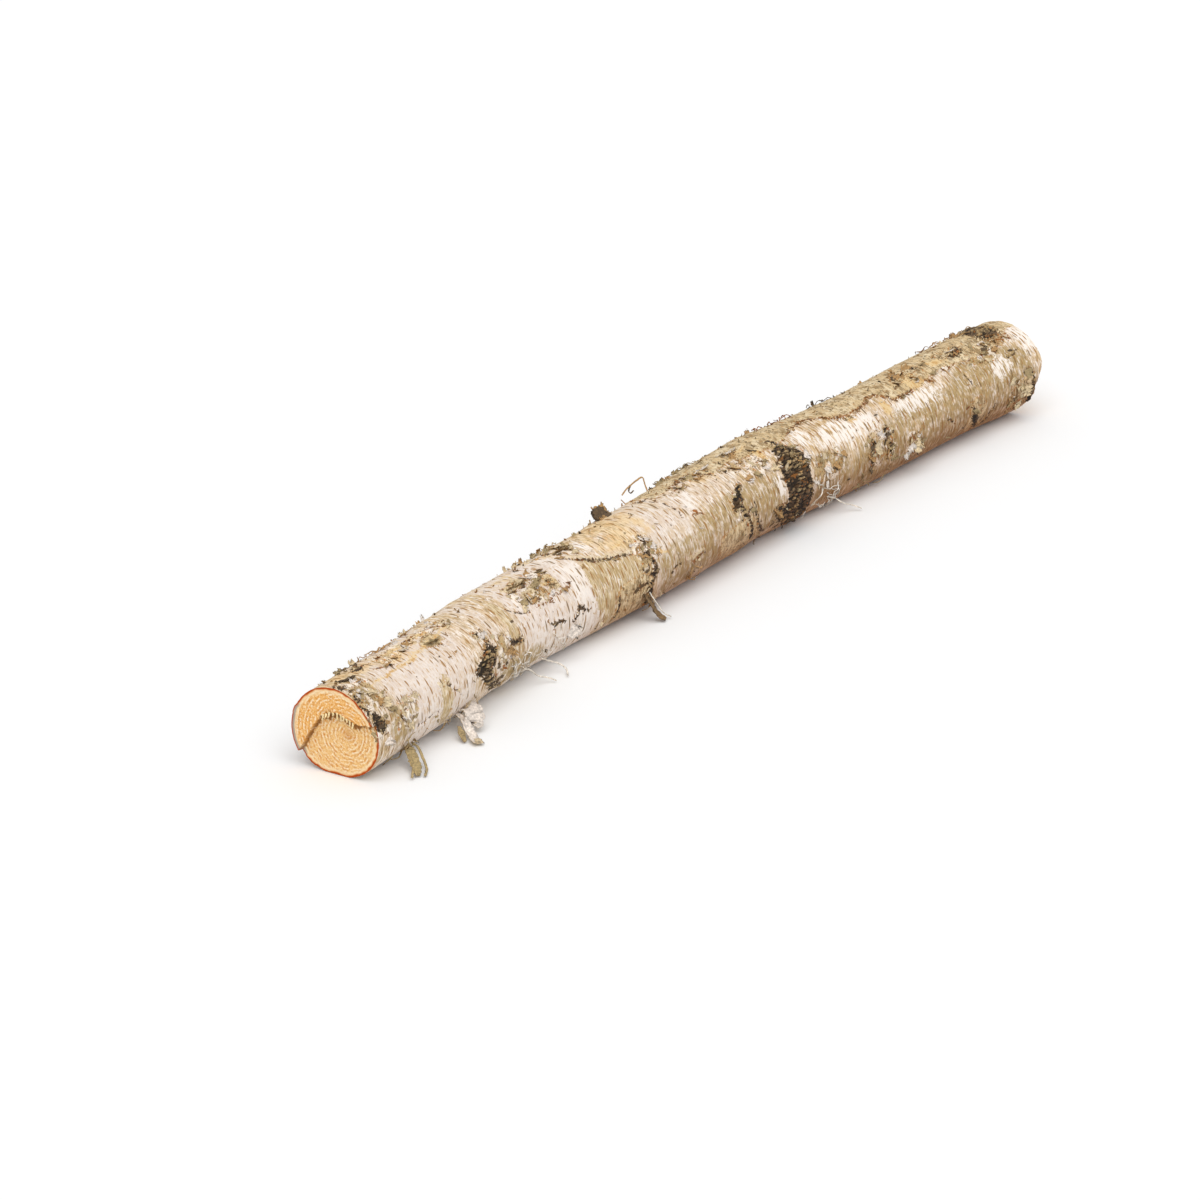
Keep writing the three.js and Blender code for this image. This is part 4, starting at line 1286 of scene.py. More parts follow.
@dataclass
class Sheets:
    """Thin sheets that are gathered into one mesh."""

    points: list[Array] = field(default_factory=list)
    faces: list[Array] = field(default_factory=list)
    tints: list[Array] = field(default_factory=list)
    count: int = 0

    def add(self, grid: Array, tone: Tone, shade: Array | float, thickness: float) -> None:
        """Add a closed thin sheet.

        Args:
            grid: Places of its middle surface, as (rows, columns, 3).
            tone: Colours of its two sides.
            shade: Brightness against its tone, of the whole sheet or of each of its places.
            thickness: Its thickness in millimetres.
        """
        rows, columns = grid.shape[:2]
        out = unit(np.cross(np.gradient(grid, axis=0), np.gradient(grid, axis=1)))
        out *= thickness / 2
        half = rows * columns
        top = grid_faces(rows, columns)
        at = np.arange(half).reshape(rows, columns)
        border = np.concatenate([at[0, :-1], at[:-1, -1], at[-1, :0:-1], at[:0:-1, 0]])
        after = np.roll(border, -1)
        wall = np.stack([border, after, after + half, border + half], axis=-1)
        self.points.append(np.stack([grid + out, grid - out]).reshape(-1, 3))
        self.faces.append(np.concatenate([top, top[:, ::-1] + half, wall]) + self.count)
        shades = np.broadcast_to(shade, (rows, columns)).reshape(-1, 1)
        for colour in tone.value:
            tint = np.ones((half, 4))
            tint[:, :3] = np.array(linear(colour)[:3]) * shades
            self.tints.append(tint)
        self.count += 2 * half

    def piece(self, name: str, material: Material) -> Object:
        """Turn the sheets into one object.

        Args:
            name: Name of the piece.
            material: Its finish.

        Returns:
            The new object.
        """
        made = mesh_piece(name, np.concatenate(self.points), np.concatenate(self.faces), material)
        mark(made, "tint", np.concatenate(self.tints))
        return made


@dataclass(frozen=True)
class Ribbon:
    """A crinkled ribbon along a smooth path; its crinkles are shares of its width."""

    columns: int = 5
    ragged: float = 0.1
    sway: float = 0.03  # to the side, at each step
    crinkle: float = 0.06
    widest: float = 6.0  # mm, from which the crinkles no longer grow
    cup: float = 0.5

    def places(self, bends: Array, widths: tuple[float, ...], face: Array, draw: Draw, steps: int) -> Array:
        """Set out the places on a ribbon.

        Args:
            bends: Places that the path goes through, as (n, 3).
            widths: Widths at equal steps from the root to the tip.
            face: Direction that the ribbon's flat side turns to at its root.
            draw: Seeded draw for its crinkles.
            steps: Cells along the ribbon.

        Returns:
            Places, as (rows, columns, 3).
        """
        t = np.linspace(0, len(bends) - 1, steps + 1)
        path = np.stack([curve(bends[:, k], t) for k in range(3)], axis=-1)
        ahead = unit(np.gradient(path, axis=0))
        aside = unit(np.cross(face, ahead))
        for i in range(1, len(aside)):
            aside[i] *= 1 if aside[i] @ aside[i - 1] >= 0 else -1
        up = np.cross(ahead, aside)
        u = np.linspace(0, 1, steps + 1)
        v = np.linspace(-0.5, 0.5, self.columns)
        wide = np.interp(u, np.linspace(0, 1, len(widths)), widths)[:, None]
        ragged = 1 + self.ragged * draw.normal(size=(steps + 1, 2))
        sway = self.sway * wide[0] * np.cumsum(draw.normal(size=steps + 1)) * u
        offset = v * wide * np.where(v < 0, ragged[:, :1], ragged[:, 1:]) + sway[:, None]
        crinkle = self.crinkle * np.minimum(wide, self.widest) * draw.normal(size=offset.shape)
        crinkle += self.cup * wide * v**2
        return path[:, None] + offset[..., None] * aside[:, None] + crinkle[..., None] * up[:, None]


@dataclass
class SawnEnds:
    """The two sawn faces and the torn fibres of the saw step; sizes in millimetres."""

    stem: Stem
    cuts: SawCuts
    finish: SawnBirch
    rings: int = 80
    far_rings: int = 24
    pith_across: float = 10.0  # from the axis towards -Y
    fuzz: float = 0.25
    fuzz_lumps: Lumps = ((21, 1.6, 1.0), (22, (9.0, 1.6, 9.0), 0.7))
    fuzz_ease: float = 12.0  # the radius over the width of the smooth edge
    uneven_step: Lumps = ((23, 2.6, 1.1),)
    uneven_rim: Lumps = ((26, 5.0, 0.9),)
    # across, and how far the painted shade reaches below the step's edge there
    torn: Pairs = ((-30, 3.0), (-14, 3.2), (-8, 6.5), (18, 7.5), (26, 4.0))
    # noise that breaks the painted shade under the step into gaps between the teeth, and places the scuffs
    torn_gaps: Lumps = ((24, (2.2, 7.0, 7.0), 1.0), (25, 1.6, 0.5))
    scuff: float = 0.6  # cover of the scuffs above the step
    # the grey sliver: turns of its ends and distances from the rim of its sides, each from none to full
    grey_ends: Pairs = ((-55, -70), (-136, -124))
    grey_sides: Pairs = ((3.6, 2.4), (0.7, 1.2))
    # teeth of torn wood over the step: from, to, how many
    teeth: tuple[tuple[float, float, int], ...] = ((-9.0, -1.0, 4), (4.0, 18.0, 6))
    # lean, bow, start over the step, drop, depth behind it and width of a tooth, each from least to most
    tooth: Pairs = ((2.4, 4.4), (0.4, 1.2), (0.6, 2.0), (5.0, 7.5), (2.4, 4.4), (1.5, 2.2))
    tooth_seed: int = 51
    tooth_thickness: float = 0.5
    tooth_stray: float = 0.5
    tooth_root: Pair = (1.2, -0.8)  # across from its place, and in from the face
    tooth_taper: float = 0.6
    # painted light: the teeth are tinted 5 to 30 percent brighter than the wood, to lift them out of the
    # step's shade
    tooth_painted_light: Pair = (1.05, 1.3)
    tooth_cells: int = 10

    def axis(self, s: float) -> Array:
        """Place of the axis on the cut at s, as y and z."""
        y = self.stem.along(self.stem.side, s) - self.stem.centre_shift
        return np.array([float(y), float(self.stem.axis_height(s))])

    def near_marks(self, grain: Array, inner: Array) -> tuple[Array, dict[str, Array]]:
        """Work out the saw step of the near face.

        Args:
            grain: Places on the face, as across, up and 0.
            inner: Distances from the rim.

        Returns:
            How far in the face lies, and its marks for the finish.
        """
        across, up = grain[..., 0], grain[..., 1]
        ragged = up + lumps(grain, self.uneven_step)
        below = self.cuts.edge(across) - ragged
        wide = np.interp(across, *zip(*self.torn))
        gaps = lumps(grain, self.torn_gaps)
        # painted shade on the step's wall and in a dark band under its edge
        torn = smooth(-0.4, 0.1, below) * smooth(wide, wide - 2.0, below + 2.5 * gaps)
        scuffed = smooth(-7.0, 0.0, below) * smooth(0.05, 0.5, gaps) * smooth(14, 4, np.abs(across + 3))
        torn = np.maximum(torn, self.scuff * scuffed * (below < 0))
        side = np.degrees(np.arctan2(across, up))
        grey = np.ones(up.shape)
        for none, full in self.grey_ends:
            grey *= smooth(none, full, side)
        for none, full in self.grey_sides:
            grey *= smooth(none, full, inner)
        return self.cuts.near(across, ragged), {"low": smooth(0, 1, below), "torn": torn, "grey": grey}

    def face(self, name: str, rim: Array, near: bool, material: Material) -> Object:
        """One sawn face as rings of corners from the rim to the middle.

        Args:
            name: Name of the piece.
            rim: Corners of the bark's edge, in millimetres.
            near: Whether it is the near face.
            material: Finish of sawn wood.

        Returns:
            The new object.
        """
        axis = self.axis(0.0 if near else 2 * self.stem.middle)
        rings = self.rings if near else self.far_rings
        share = np.linspace(1, 0, rings + 1)[:, None, None]
        flat = axis + share * (rim[None, :, 1:] - axis)
        across = axis[0] - flat[..., 0]
        up = flat[..., 1] - axis[1]
        grain = np.stack([across, up, np.zeros(up.shape)], axis=-1)
        rough = self.fuzz * lumps(grain, self.fuzz_lumps)
        rough *= np.minimum(1, (1 - share[..., 0]) * self.fuzz_ease)
        inner = (1 - share[..., 0]) * np.hypot(across[0], up[0])
        faces = grid_faces(*up.shape)
        if near:
            x, marks = self.near_marks(grain, inner)
        else:
            x, marks = self.cuts.far(up), {key: np.zeros(up.shape) for key in ("low", "torn", "grey")}
            faces = faces[:, ::-1]
        points = np.concatenate([(x + rough)[..., None] - self.stem.middle, flat], axis=-1)
        points[0] = rim
        piece = mesh_piece(name, points.reshape(-1, 3), faces, material)
        mark(piece, "cut_place", (grain - np.array([self.pith_across, 0, 0])).reshape(-1, 3))
        mark(piece, "rim", (inner + lumps(grain, self.uneven_rim)).ravel())
        for key, values in marks.items():
            mark(piece, key, values.ravel())
        return piece

    def splinters(self, material: Material) -> Object:
        """A row of pale torn fibres over the edge of the saw step.

        Args:
            material: Finish of loose fibres.

        Returns:
            The new object.
        """
        draw = np.random.default_rng(self.tooth_seed)
        sheets = Sheets()
        y, z = self.axis(0.0)
        t = np.linspace(0, 1, 5)
        face = np.array([-1.0, 0, 0])
        aside, proud = self.tooth_root
        for first, last, count in self.teeth:
            for start in np.linspace(first, last, count) + draw.normal(0, self.tooth_stray, count):
                lean, bow, over, drop, depth, width = (draw.uniform(*limits) for limits in self.tooth)
                across = start + aside - lean * t + bow * np.sin(np.pi * t)
                up = self.cuts.edge(start) + over - drop * t
                deep = proud + depth * t**1.5
                bends = np.stack([deep - self.stem.middle, y - across, z + up], axis=-1)
                widths = (width, self.tooth_taper * width)
                grid = Ribbon().places(bends, widths, face, draw, self.tooth_cells)
                sheets.add(grid, Tone.WOOD, draw.uniform(*self.tooth_painted_light), self.tooth_thickness)
        return sheets.piece("saw_splinters", material)

    def build(self, bark: BarkStem, loose: Material) -> list[Object]:
        """Build and dress both faces inside the rims of the bark.

        Args:
            bark: The bark, once it is built.
            loose: Finish of loose fibres.

        Returns:
            The near face, the far face and the splinters.
        """
        material = self.finish.build()
        return [
            self.face("sawn_near", bark.rim_near, True, material),
            self.face("sawn_far", bark.rim_far, False, material),
            self.splinters(loose),
        ]


@dataclass(frozen=True)
class Peel:
    """A flap of bark; lengths in millimetres and angles in degrees."""

    s: float  # of its root
    turn: float
    width: float
    length: float
    heading: float  # 0 towards the far end, 90 the way that the turn grows
    lift: float  # off the bark at its root
    curl: float  # from its root to its tip
    tone: Tone
    thickness: float = 0.5
    ragged: float = 1.0  # from 0 for a plain outline to 1
    sink: float = 1.0  # of its root in the bark


@dataclass
class Peels:
    """Torn flaps, curls and crumbs of bark."""

    stem: Stem
    material: Material
    draw: Draw = field(default_factory=lambda: np.random.default_rng(31))
    floor_gap: float = 0.5  # mm that stays free under a flap
    flap_cells: tuple[int, int] = (12, 10)  # along and across
    scrap_cells: tuple[int, int] = (5, 7)
    crumb_cells: tuple[int, int] = (3, 3)
    flap_shades: Pair = (0.75, 1.1)
    crumb_shades: Pair = (0.7, 1.1)
    # shares of a flap's length or width that its outline and its surface stray
    notch: float = 0.55
    cup: float = 0.2
    crumple: float = 0.03
    narrowing: float = 0.3
    side_stray: float = 0.16
    clear: float = 9.0  # mm from the near end that stay free of loose flakes
    last: float = 964.0
    film_from: float = 455.0  # s and turn where the olive skin of the top begins
    film_turn: float = 10.0
    old_from: float = 220.0  # from here on the paper is older and browner
    crumbs: int = 560
    top_share: float = 0.35  # of the crumbs, lying along the top
    scrap_area: float = 85.0  # mm2 of torn paper to one raised scrap
    scar_flakes: int = 16  # for each patch of rough bark
    edge_step: float = 2.6  # mm between the tongues of paper along a torn edge
    film_mix: Mix = (
        (Tone.OLIVE, 0.42), (Tone.DARK, 0.12), (Tone.TAN, 0.2), (Tone.CREAM, 0.2), (Tone.PAPER, 0.06)
    )
    crumb_mix: Mix = (
        (Tone.OLIVE, 0.2), (Tone.DARK, 0.1), (Tone.TAN, 0.25), (Tone.CREAM, 0.3), (Tone.PAPER, 0.15)
    )
    fresh_mix: Mix = ((Tone.OLIVE, 0.16), (Tone.TAN, 0.16), (Tone.CREAM, 0.38), (Tone.PAPER, 0.3))
    old_mix: Mix = (
        (Tone.OLIVE, 0.3), (Tone.TAN, 0.2), (Tone.CREAM, 0.28), (Tone.PAPER, 0.16), (Tone.DARK, 0.06)
    )
    scar_mix: Mix = ((Tone.DARK, 0.5), (Tone.OLIVE, 0.2), (Tone.TAN, 0.12), (Tone.RUST, 0.18))
    edge_mix: Mix = (
        (Tone.CREAM, 0.3), (Tone.TAN, 0.25), (Tone.OLIVE, 0.2), (Tone.RUST, 0.15), (Tone.PAPER, 0.1)
    )
    placed: tuple[Peel, ...] = (
        Peel(16, 90, 8, 9, 70, 30, 90, Tone.PAPER), Peel(22, -8, 16, 9, 100, 10, 10, Tone.DARK),
        Peel(40, -31, 13, 5, 265, 20, 60, Tone.OLIVE), Peel(58, -32, 7, 6, 280, 30, 120, Tone.CREAM),
        Peel(122, 10, 15, 9, 95, 18, 30, Tone.OLIVE), Peel(131, -33, 10, 5, 270, 25, 70, Tone.CREAM),
        Peel(160, -35, 3, 7, 320, 30, 60, Tone.PAPER), Peel(247, 12, 22, 8, 95, 35, 40, Tone.OLIVE),
        Peel(266, 22, 18, 9, 60, 25, 40, Tone.OLIVE), Peel(283, 34, 9, 8, 110, 30, 50, Tone.CREAM),
        Peel(286, 100, 12, 11, 30, 25, 60, Tone.PAPER), Peel(292, -30, 6, 5, 290, 25, 120, Tone.CREAM),
        Peel(281, -32, 4, 6, 275, 45, 90, Tone.CREAM), Peel(303, -32, 5, 6, 262, 40, 120, Tone.TAN),
        Peel(318, -24, 14, 7, 255, 14, 60, Tone.OLIVE), Peel(327, -32, 5, 7, 285, 50, 170, Tone.TAN),
        Peel(331, -4, 13, 8, 110, 30, 40, Tone.OLIVE), Peel(338, -33, 5, 7, 250, 40, 170, Tone.CREAM),
        Peel(411, -28, 15, 11, 272, 84, 10, Tone.DARK, 2.2, 0.55),
        Peel(414, -27, 14, 12, 278, 74, 8, Tone.TAN, 1.2, 0.6),
        Peel(412, -26, 16, 10, 274, 66, 10, Tone.DARK, 2.2, 0.55),
        Peel(415, -25, 15, 8, 280, 56, 10, Tone.CHIP, 1.2, 0.5),
        Peel(412, -23, 16, 6, 272, 42, 16, Tone.DARK, 1.6, 0.5),
        Peel(413, -21, 15, 5, 272, 28, 30, Tone.DARK, 0.9, 0.6),
        Peel(409, -19, 10, 4, 265, 16, 40, Tone.TAN, 0.6, 0.9),
        Peel(503, -30, 14, 6, 270, 25, 60, Tone.OLIVE), Peel(513, -31, 15, 5, 266, 18, 70, Tone.TAN),
        Peel(530, -32, 12, 5, 275, 24, 90, Tone.OLIVE), Peel(547, -32, 9, 5, 262, 20, 60, Tone.DARK),
        Peel(580, -12, 24, 9, 95, 15, 20, Tone.PAPER), Peel(592, 96, 14, 9, 120, 25, 40, Tone.TAN),
        Peel(640, -32, 8, 5, 275, 30, 80, Tone.TAN), Peel(735, -34, 4, 6, 270, 50, 90, Tone.DARK),
        Peel(797, 98, 13, 11, 60, 25, 70, Tone.CREAM), Peel(818, 8, 14, 9, 320, 25, 60, Tone.TAN),
        Peel(888, 92, 11, 8, 100, 30, 50, Tone.OLIVE), Peel(946, -33, 8, 5, 280, 35, 60, Tone.TAN),
        Peel(961, 96, 13, 9, 60, 25, 70, Tone.CREAM), Peel(255, -110, 18, 10, 60, 22, 50, Tone.OLIVE),
        Peel(430, -85, 16, 11, 200, 20, 60, Tone.PAPER), Peel(700, -75, 20, 10, 100, 20, 40, Tone.OLIVE),
        Peel(790, -120, 13, 10, 260, 25, 60, Tone.CREAM),
    )

    def sheet(self, peel: Peel, steps: int, across: int) -> Array:
        """Places on a bent flap with a ragged outline.

        Args:
            peel: The flap.
            steps: Cells along the flap.
            across: Cells across it.

        Returns:
            Places, as (rows, columns, 3).
        """
        turn, heading = math.radians(peel.turn), math.radians(peel.heading)
        out = np.array([0, -math.sin(turn), math.cos(turn)])
        round_stem = np.array([0, -math.cos(turn), -math.sin(turn)])
        ahead = np.array([math.cos(heading), 0, 0]) + math.sin(heading) * round_stem
        start = self.stem.bark(peel.s, peel.turn, -peel.sink)
        t = np.linspace(0, 1, steps + 1)[:, None]
        v = np.linspace(-0.5, 0.5, across + 1)
        angle = np.radians(peel.lift + peel.curl * t[:-1, 0])
        step = (peel.length + peel.sink) / steps
        run = np.concatenate([[0], np.cumsum(np.cos(angle))]) * step
        rise = np.concatenate([[0], np.cumsum(np.sin(angle))]) * step
        ragged = 1 - self.notch * peel.ragged * self.draw.random(across + 1) ** 1.5
        place = t * steps * ragged[None, :] ** t
        run = np.interp(place, np.arange(steps + 1), run)
        rise = np.interp(place, np.arange(steps + 1), rise) + self.cup * peel.width * (v**2 - 0.1) * t
        rise += self.crumple * peel.width * peel.ragged * self.draw.normal(size=rise.shape)
        sides = 1 - self.narrowing * t**1.5 + self.side_stray * self.draw.normal(size=(steps + 1, 2))
        sides = 1 + peel.ragged * (sides - 1)
        wide = v * peel.width * np.where(v < 0, sides[:, :1], sides[:, 1:])
        aside = np.cross(out, ahead)
        place = start + run[..., None] * ahead + rise[..., None] * out + wide[..., None] * aside
        place[..., 2] = np.maximum(place[..., 2], self.floor_gap)
        return place

    def pick(self, mix: Mix) -> Tone:
        """Draw a tone by its share in a mix."""
        tones, shares = zip(*mix)
        return tones[self.draw.choice(len(tones), p=shares)]

    def crumb(self) -> Peel:
        """Draw a small flake at a random place, many of them on the old skin of the top.

        Returns:
            The flake.
        """
        draw = self.draw
        s = draw.uniform(self.clear, self.last)
        turn = draw.normal(-24, 18) if draw.random() < self.top_share else draw.uniform(-130, 125)
        on_film = s > self.film_from and turn < self.film_turn
        tone = self.pick(self.film_mix if on_film else self.crumb_mix)
        length = draw.uniform(1.2, 4.0)
        lift, curl = draw.uniform(12, 50), draw.uniform(0, 80)
        width = length * draw.uniform(0.4, 1.2)
        return Peel(s, turn, width, length, draw.uniform(0, 360), lift, curl, tone)

    def scraps(self) -> list[Peel]:
        """Draw ragged scraps of paper that lie on the torn patches.

        Returns:
            The scraps, more of them on a larger patch.
        """
        draw = self.draw
        made = []
        for s0, s1, turn0, turn1 in PATCHES[Layer.TORN]:
            area = (s1 - s0) * self.stem.arc(turn1 - turn0)
            for _ in range(round(area / self.scrap_area)):
                s, turn = draw.uniform((max(s0, self.clear), turn0), (min(s1, self.last), turn1))
                heading = draw.choice((90, 270), p=(0.7, 0.3)) + draw.normal(0, 35)
                sizes = draw.uniform((4, 3), (11, 9))
                angles = draw.uniform((3, 0), (20, 60))
                tone = self.pick(self.fresh_mix if s < self.old_from else self.old_mix)
                made.append(Peel(s, turn, *sizes, heading, *angles, tone, 0.4, sink=0.2))
        return made

    def rough_flakes(self) -> list[Peel]:
        """Draw small plates that stand off the rough bark.

        Returns:
            The plates, patch by patch.
        """
        draw = self.draw
        made = []
        for s, turn, along, around, _ in SCARS:
            for _ in range(self.scar_flakes):
                at = s + along * draw.normal(0, 0.5)
                where = turn + around * draw.normal(0, 0.5) / self.stem.arc(1)
                heading = draw.choice((0, 180)) + draw.normal(0, 40)
                sizes = draw.uniform(1.5, 5, 2)
                angles = draw.uniform((8, -20), (40, 30))
                made.append(Peel(at, where, *sizes, heading, *angles, self.pick(self.scar_mix), 0.8))
        return made

    def torn_tongues(self) -> list[Peel]:
        """Draw small tongues of paper along the torn edges.

        Returns:
            The tongues, edge by edge.
        """
        draw = self.draw
        edges = [[(s, turn) for s, turn, _ in row] for row in STROKES[Layer.RUST] + STROKES[Layer.RIDGE]]
        made = []
        for row in [*edges, list(TOP_FILM_EDGE[:-1])]:
            for (s0, turn0), (s1, turn1) in zip(row, row[1:]):
                count = max(1, int(math.hypot(s1 - s0, self.stem.arc(turn1 - turn0)) / self.edge_step))
                for t in draw.random(count):
                    sizes = draw.uniform((1.5, 1.2), (5, 3.6))
                    angles = draw.uniform((5, 0), (40, 90))
                    s, turn = s0 + t * (s1 - s0), turn0 + t * (turn1 - turn0) + draw.normal(0, 1.5)
                    heading = 90 + draw.normal(0, 50)
                    made.append(Peel(s, turn, *sizes, heading, *angles, self.pick(self.edge_mix), 0.35))
        return made

    def lay(self, sheets: Sheets, peels: Iterable[Peel], cells: tuple[int, int]) -> None:
        """Add flaps to a mesh.

        Args:
            sheets: The mesh.
            peels: The flaps.
            cells: Cells along and across each flap.
        """
        for peel in peels:
            grid = self.sheet(peel, *cells)
            sheets.add(grid, peel.tone, self.draw.uniform(*self.flap_shades, grid.shape[:2]), peel.thickness)

    def build(self) -> list[Object]:
        """Build and dress the flaps and the crumbs.

        Returns:
            The flaps as one piece and the crumbs as another.
        """
        flaps = Sheets()
        self.lay(flaps, self.placed, self.flap_cells)
        self.lay(flaps, self.scraps(), self.scrap_cells)
        small = [self.crumb() for _ in range(self.crumbs)]
        small += self.rough_flakes() + self.torn_tongues()
        flakes = Sheets()
        for peel in small:
            grid = self.sheet(peel, *self.crumb_cells)
            flakes.add(grid, peel.tone, self.draw.uniform(*self.crumb_shades), peel.thickness)
        return [flaps.piece("bark_flaps", self.material), flakes.piece("bark_crumbs", self.material)]


@dataclass
class Strips:
    """Strips that have peeled off the lower side, and loose fibres; sizes in millimetres."""

    stem: Stem
    material: Material
    draw: Draw = field(default_factory=lambda: np.random.default_rng(41))
    strip_thickness: float = 0.6
    fibre_thickness: float = 0.35
    floor_gap: float = 0.4  # stays free under a strip
    strip_face: Triple = (0, -0.4, 1.0)  # direction that its flat side turns to
    fibre_face: Triple = (0.2, -0.6, 0.8)
    strip_cells: int = 24
    fibre_cells: int = 30
    tuft_cells: int = 10
    fibre_taper: float = 0.7
    tuft_taper: float = 0.5
    tuft_width: Pair = (0.7, 1.5)
    strip_shades: Pair = (0.85, 1.1)
    tuft_shades: Pair = (0.75, 1.1)
    spotted: float = 0.12  # share of a strip's places that are brown
    spot_shade: float = 0.5
    # widths, colour and bends; each bend is s, how far out from the axis, and height
    strips: tuple[tuple[tuple[float, ...], Tone, Triples], ...] = (
        ((5, 9, 9, 4), Tone.HUSK, ((55, 29, 15), (51, 36, 12), (46, 43, 8), (40, 50, 4), (34, 55, 1.6))),
        ((2, 2, 1.6), Tone.HUSK, ((52, 32, 13), (46, 40, 10), (38, 48, 6), (27, 54, 2.2))),
        ((2.4, 2.2, 1.8), Tone.HUSK, ((60, 30, 14), (59, 38, 12), (55, 46, 6), (48, 54, 1.8), (37, 60, 1.4))),
        ((16, 20, 12), Tone.PAPER, ((133, 29, 16), (134, 36, 16), (134, 42, 13), (132, 45, 8), (131, 43, 4))),
        (
            (5, 8, 9, 9, 6),
            Tone.PAPER,
            (
                (124, 32, 15), (122, 40, 11), (119, 47, 5), (115, 54, 1.6),
                (111, 60, 1.2), (110, 63, 3), (112, 61, 5),
            ),
        ),
        ((3, 6, 3), Tone.OLIVE, ((115, 40, 9), (111, 45, 5), (107, 50, 1.4))),
        ((2, 1.2), Tone.FIBRE, ((222, 31, 16), (230, 36, 13), (234, 41, 8), (243, 45, 4), (246, 51, 1.8))),
        ((2, 1.2), Tone.FIBRE, ((252, 31, 15), (256, 37, 12), (264, 41, 8), (266, 47, 4), (260, 53, 2))),
        (
            (7, 9, 9, 5),
            Tone.CHIP,
            ((388, 36, 30), (391, 39, 22), (395, 42, 13), (399, 45, 5), (402, 51, 1.6)),
        ),
        ((1.6, 1.2), Tone.FIBRE, ((394, 38, 28), (397, 41, 20), (401, 44, 12), (405, 47, 5), (408, 52, 2))),
        ((2, 1.2), Tone.FIBRE, ((672, 33, 18), (682, 37, 13), (686, 42, 9), (695, 45, 5), (699, 51, 2.2))),
    )
    # width, colour and bends; each bend is s, turn, and height over the bark
    fibres: tuple[tuple[float, Tone, Triples], ...] = (
        (
            1.6,
            Tone.TAN,
            (
                (484, -34, -1), (486, -35, 5), (489, -36, 11), (487, -36, 12.4),
                (480, -36, 12), (470, -36, 11), (462, -36, 9.6), (455, -36, 7.6),
            ),
        ),
        (1.4, Tone.DARK, ((470, -36, 11), (465, -36, 8), (466, -36, 5.6), (471, -36, 6))),
        (1.4, Tone.TAN, ((453, -35, -1), (452, -36, 3), (451, -36, 5))),
    )
    # s from, s to, turn from, turn to, how many, colour
    tufts: tuple[tuple[float, float, float, float, int, Tone], ...] = (
        (203, 240, 92, 128, 26, Tone.FIBRE), (240, 292, 100, 120, 10, Tone.FIBRE),
        (646, 690, 102, 134, 16, Tone.FIBRE), (393, 412, 94, 130, 9, Tone.CREAM),
        (30, 60, 106, 132, 8, Tone.OLIVE), (108, 150, 108, 132, 8, Tone.CREAM),
        (452, 478, 98, 130, 8, Tone.TAN), (556, 640, 114, 134, 12, Tone.DARK),
        (720, 770, 104, 132, 10, Tone.OLIVE), (60, 132, -37, -22, 10, Tone.TAN),
        (290, 345, -37, -18, 16, Tone.CREAM), (496, 566, -37, -22, 16, Tone.OLIVE),
        (636, 700, -37, -26, 10, Tone.RUST), (716, 760, -37, -28, 6, Tone.DARK),
        (890, 976, -37, -24, 14, Tone.TAN),
    )

    def tuft(self, s: Pair, turn: Pair, count: int) -> list[Array]:
        """Draw the paths of a tuft's curled fibres.

        Args:
            s: Stretch of the stem that they are rooted in.
            turn: Turns that they are rooted between.
            count: How many there are.

        Returns:
            Places of each on and over the bark, as (5, 3).
        """
        draw = self.draw
        paths = []
        for _ in range(count):
            ahead = draw.uniform(0, 2 * math.pi)
            bend = draw.normal(0, 0.5, 4).cumsum() + ahead
            pace = draw.uniform(1.2, 4.5)
            along = draw.uniform(*s) + np.concatenate([[0], np.cumsum(pace * np.cos(bend))])
            round_stem = np.concatenate([[0], np.cumsum(pace * np.sin(bend))])
            around = draw.uniform(*turn) + round_stem / self.stem.arc(1)
            lift = np.concatenate([[-0.6, 0.6], draw.uniform(0.8, 3.4, 3)])
            paths.append(self.stem.bark(along, around, lift))
        return paths

    def build_strips(self) -> Object:
        """Build and dress the strips that lie out over the floor.

        Returns:
            The new object.
        """
        sheets = Sheets()
        for widths, tone, bends in self.strips:
            s, out, height = np.array(bends, float).T
            y = self.stem.along(self.stem.side, s) - out - self.stem.centre_shift
            path = np.stack([s - self.stem.middle, y, height], axis=-1)
            grid = Ribbon().places(path, widths, np.array(self.strip_face), self.draw, self.strip_cells)
            grid[..., 2] = np.maximum(grid[..., 2], self.floor_gap)
            shade = self.draw.uniform(*self.strip_shades, grid.shape[:2])
            spots = self.draw.random(shade.shape) < self.spotted
            sheets.add(grid, tone, np.where(spots, self.spot_shade, shade), self.strip_thickness)
        return sheets.piece("bark_strips", self.material)

    def build_fibres(self) -> Object:
        """Build and dress the loose fibres on the bark.

        Returns:
            The new object.
        """
        draw = self.draw
        sheets = Sheets()
        face = np.array(self.fibre_face)
        for width, tone, bends in self.fibres:
            path = self.stem.bark(*np.array(bends, float).T)
            widths = (width, self.fibre_taper * width)
            grid = Ribbon().places(path, widths, face, draw, self.fibre_cells)
            sheets.add(grid, tone, 1.0, self.fibre_thickness)
        for s0, s1, turn0, turn1, count, tone in self.tufts:
            for path in self.tuft((s0, s1), (turn0, turn1), count):
                width = draw.uniform(*self.tuft_width)
                widths = (width, self.tuft_taper * width)
                grid = Ribbon().places(path, widths, face, draw, self.tuft_cells)
                sheets.add(grid, tone, draw.uniform(*self.tuft_shades), self.fibre_thickness)
        return sheets.piece("bark_fibres", self.material)

    def build(self) -> list[Object]:
        """Build and dress the strips, then the fibres."""
        return [self.build_strips(), self.build_fibres()]


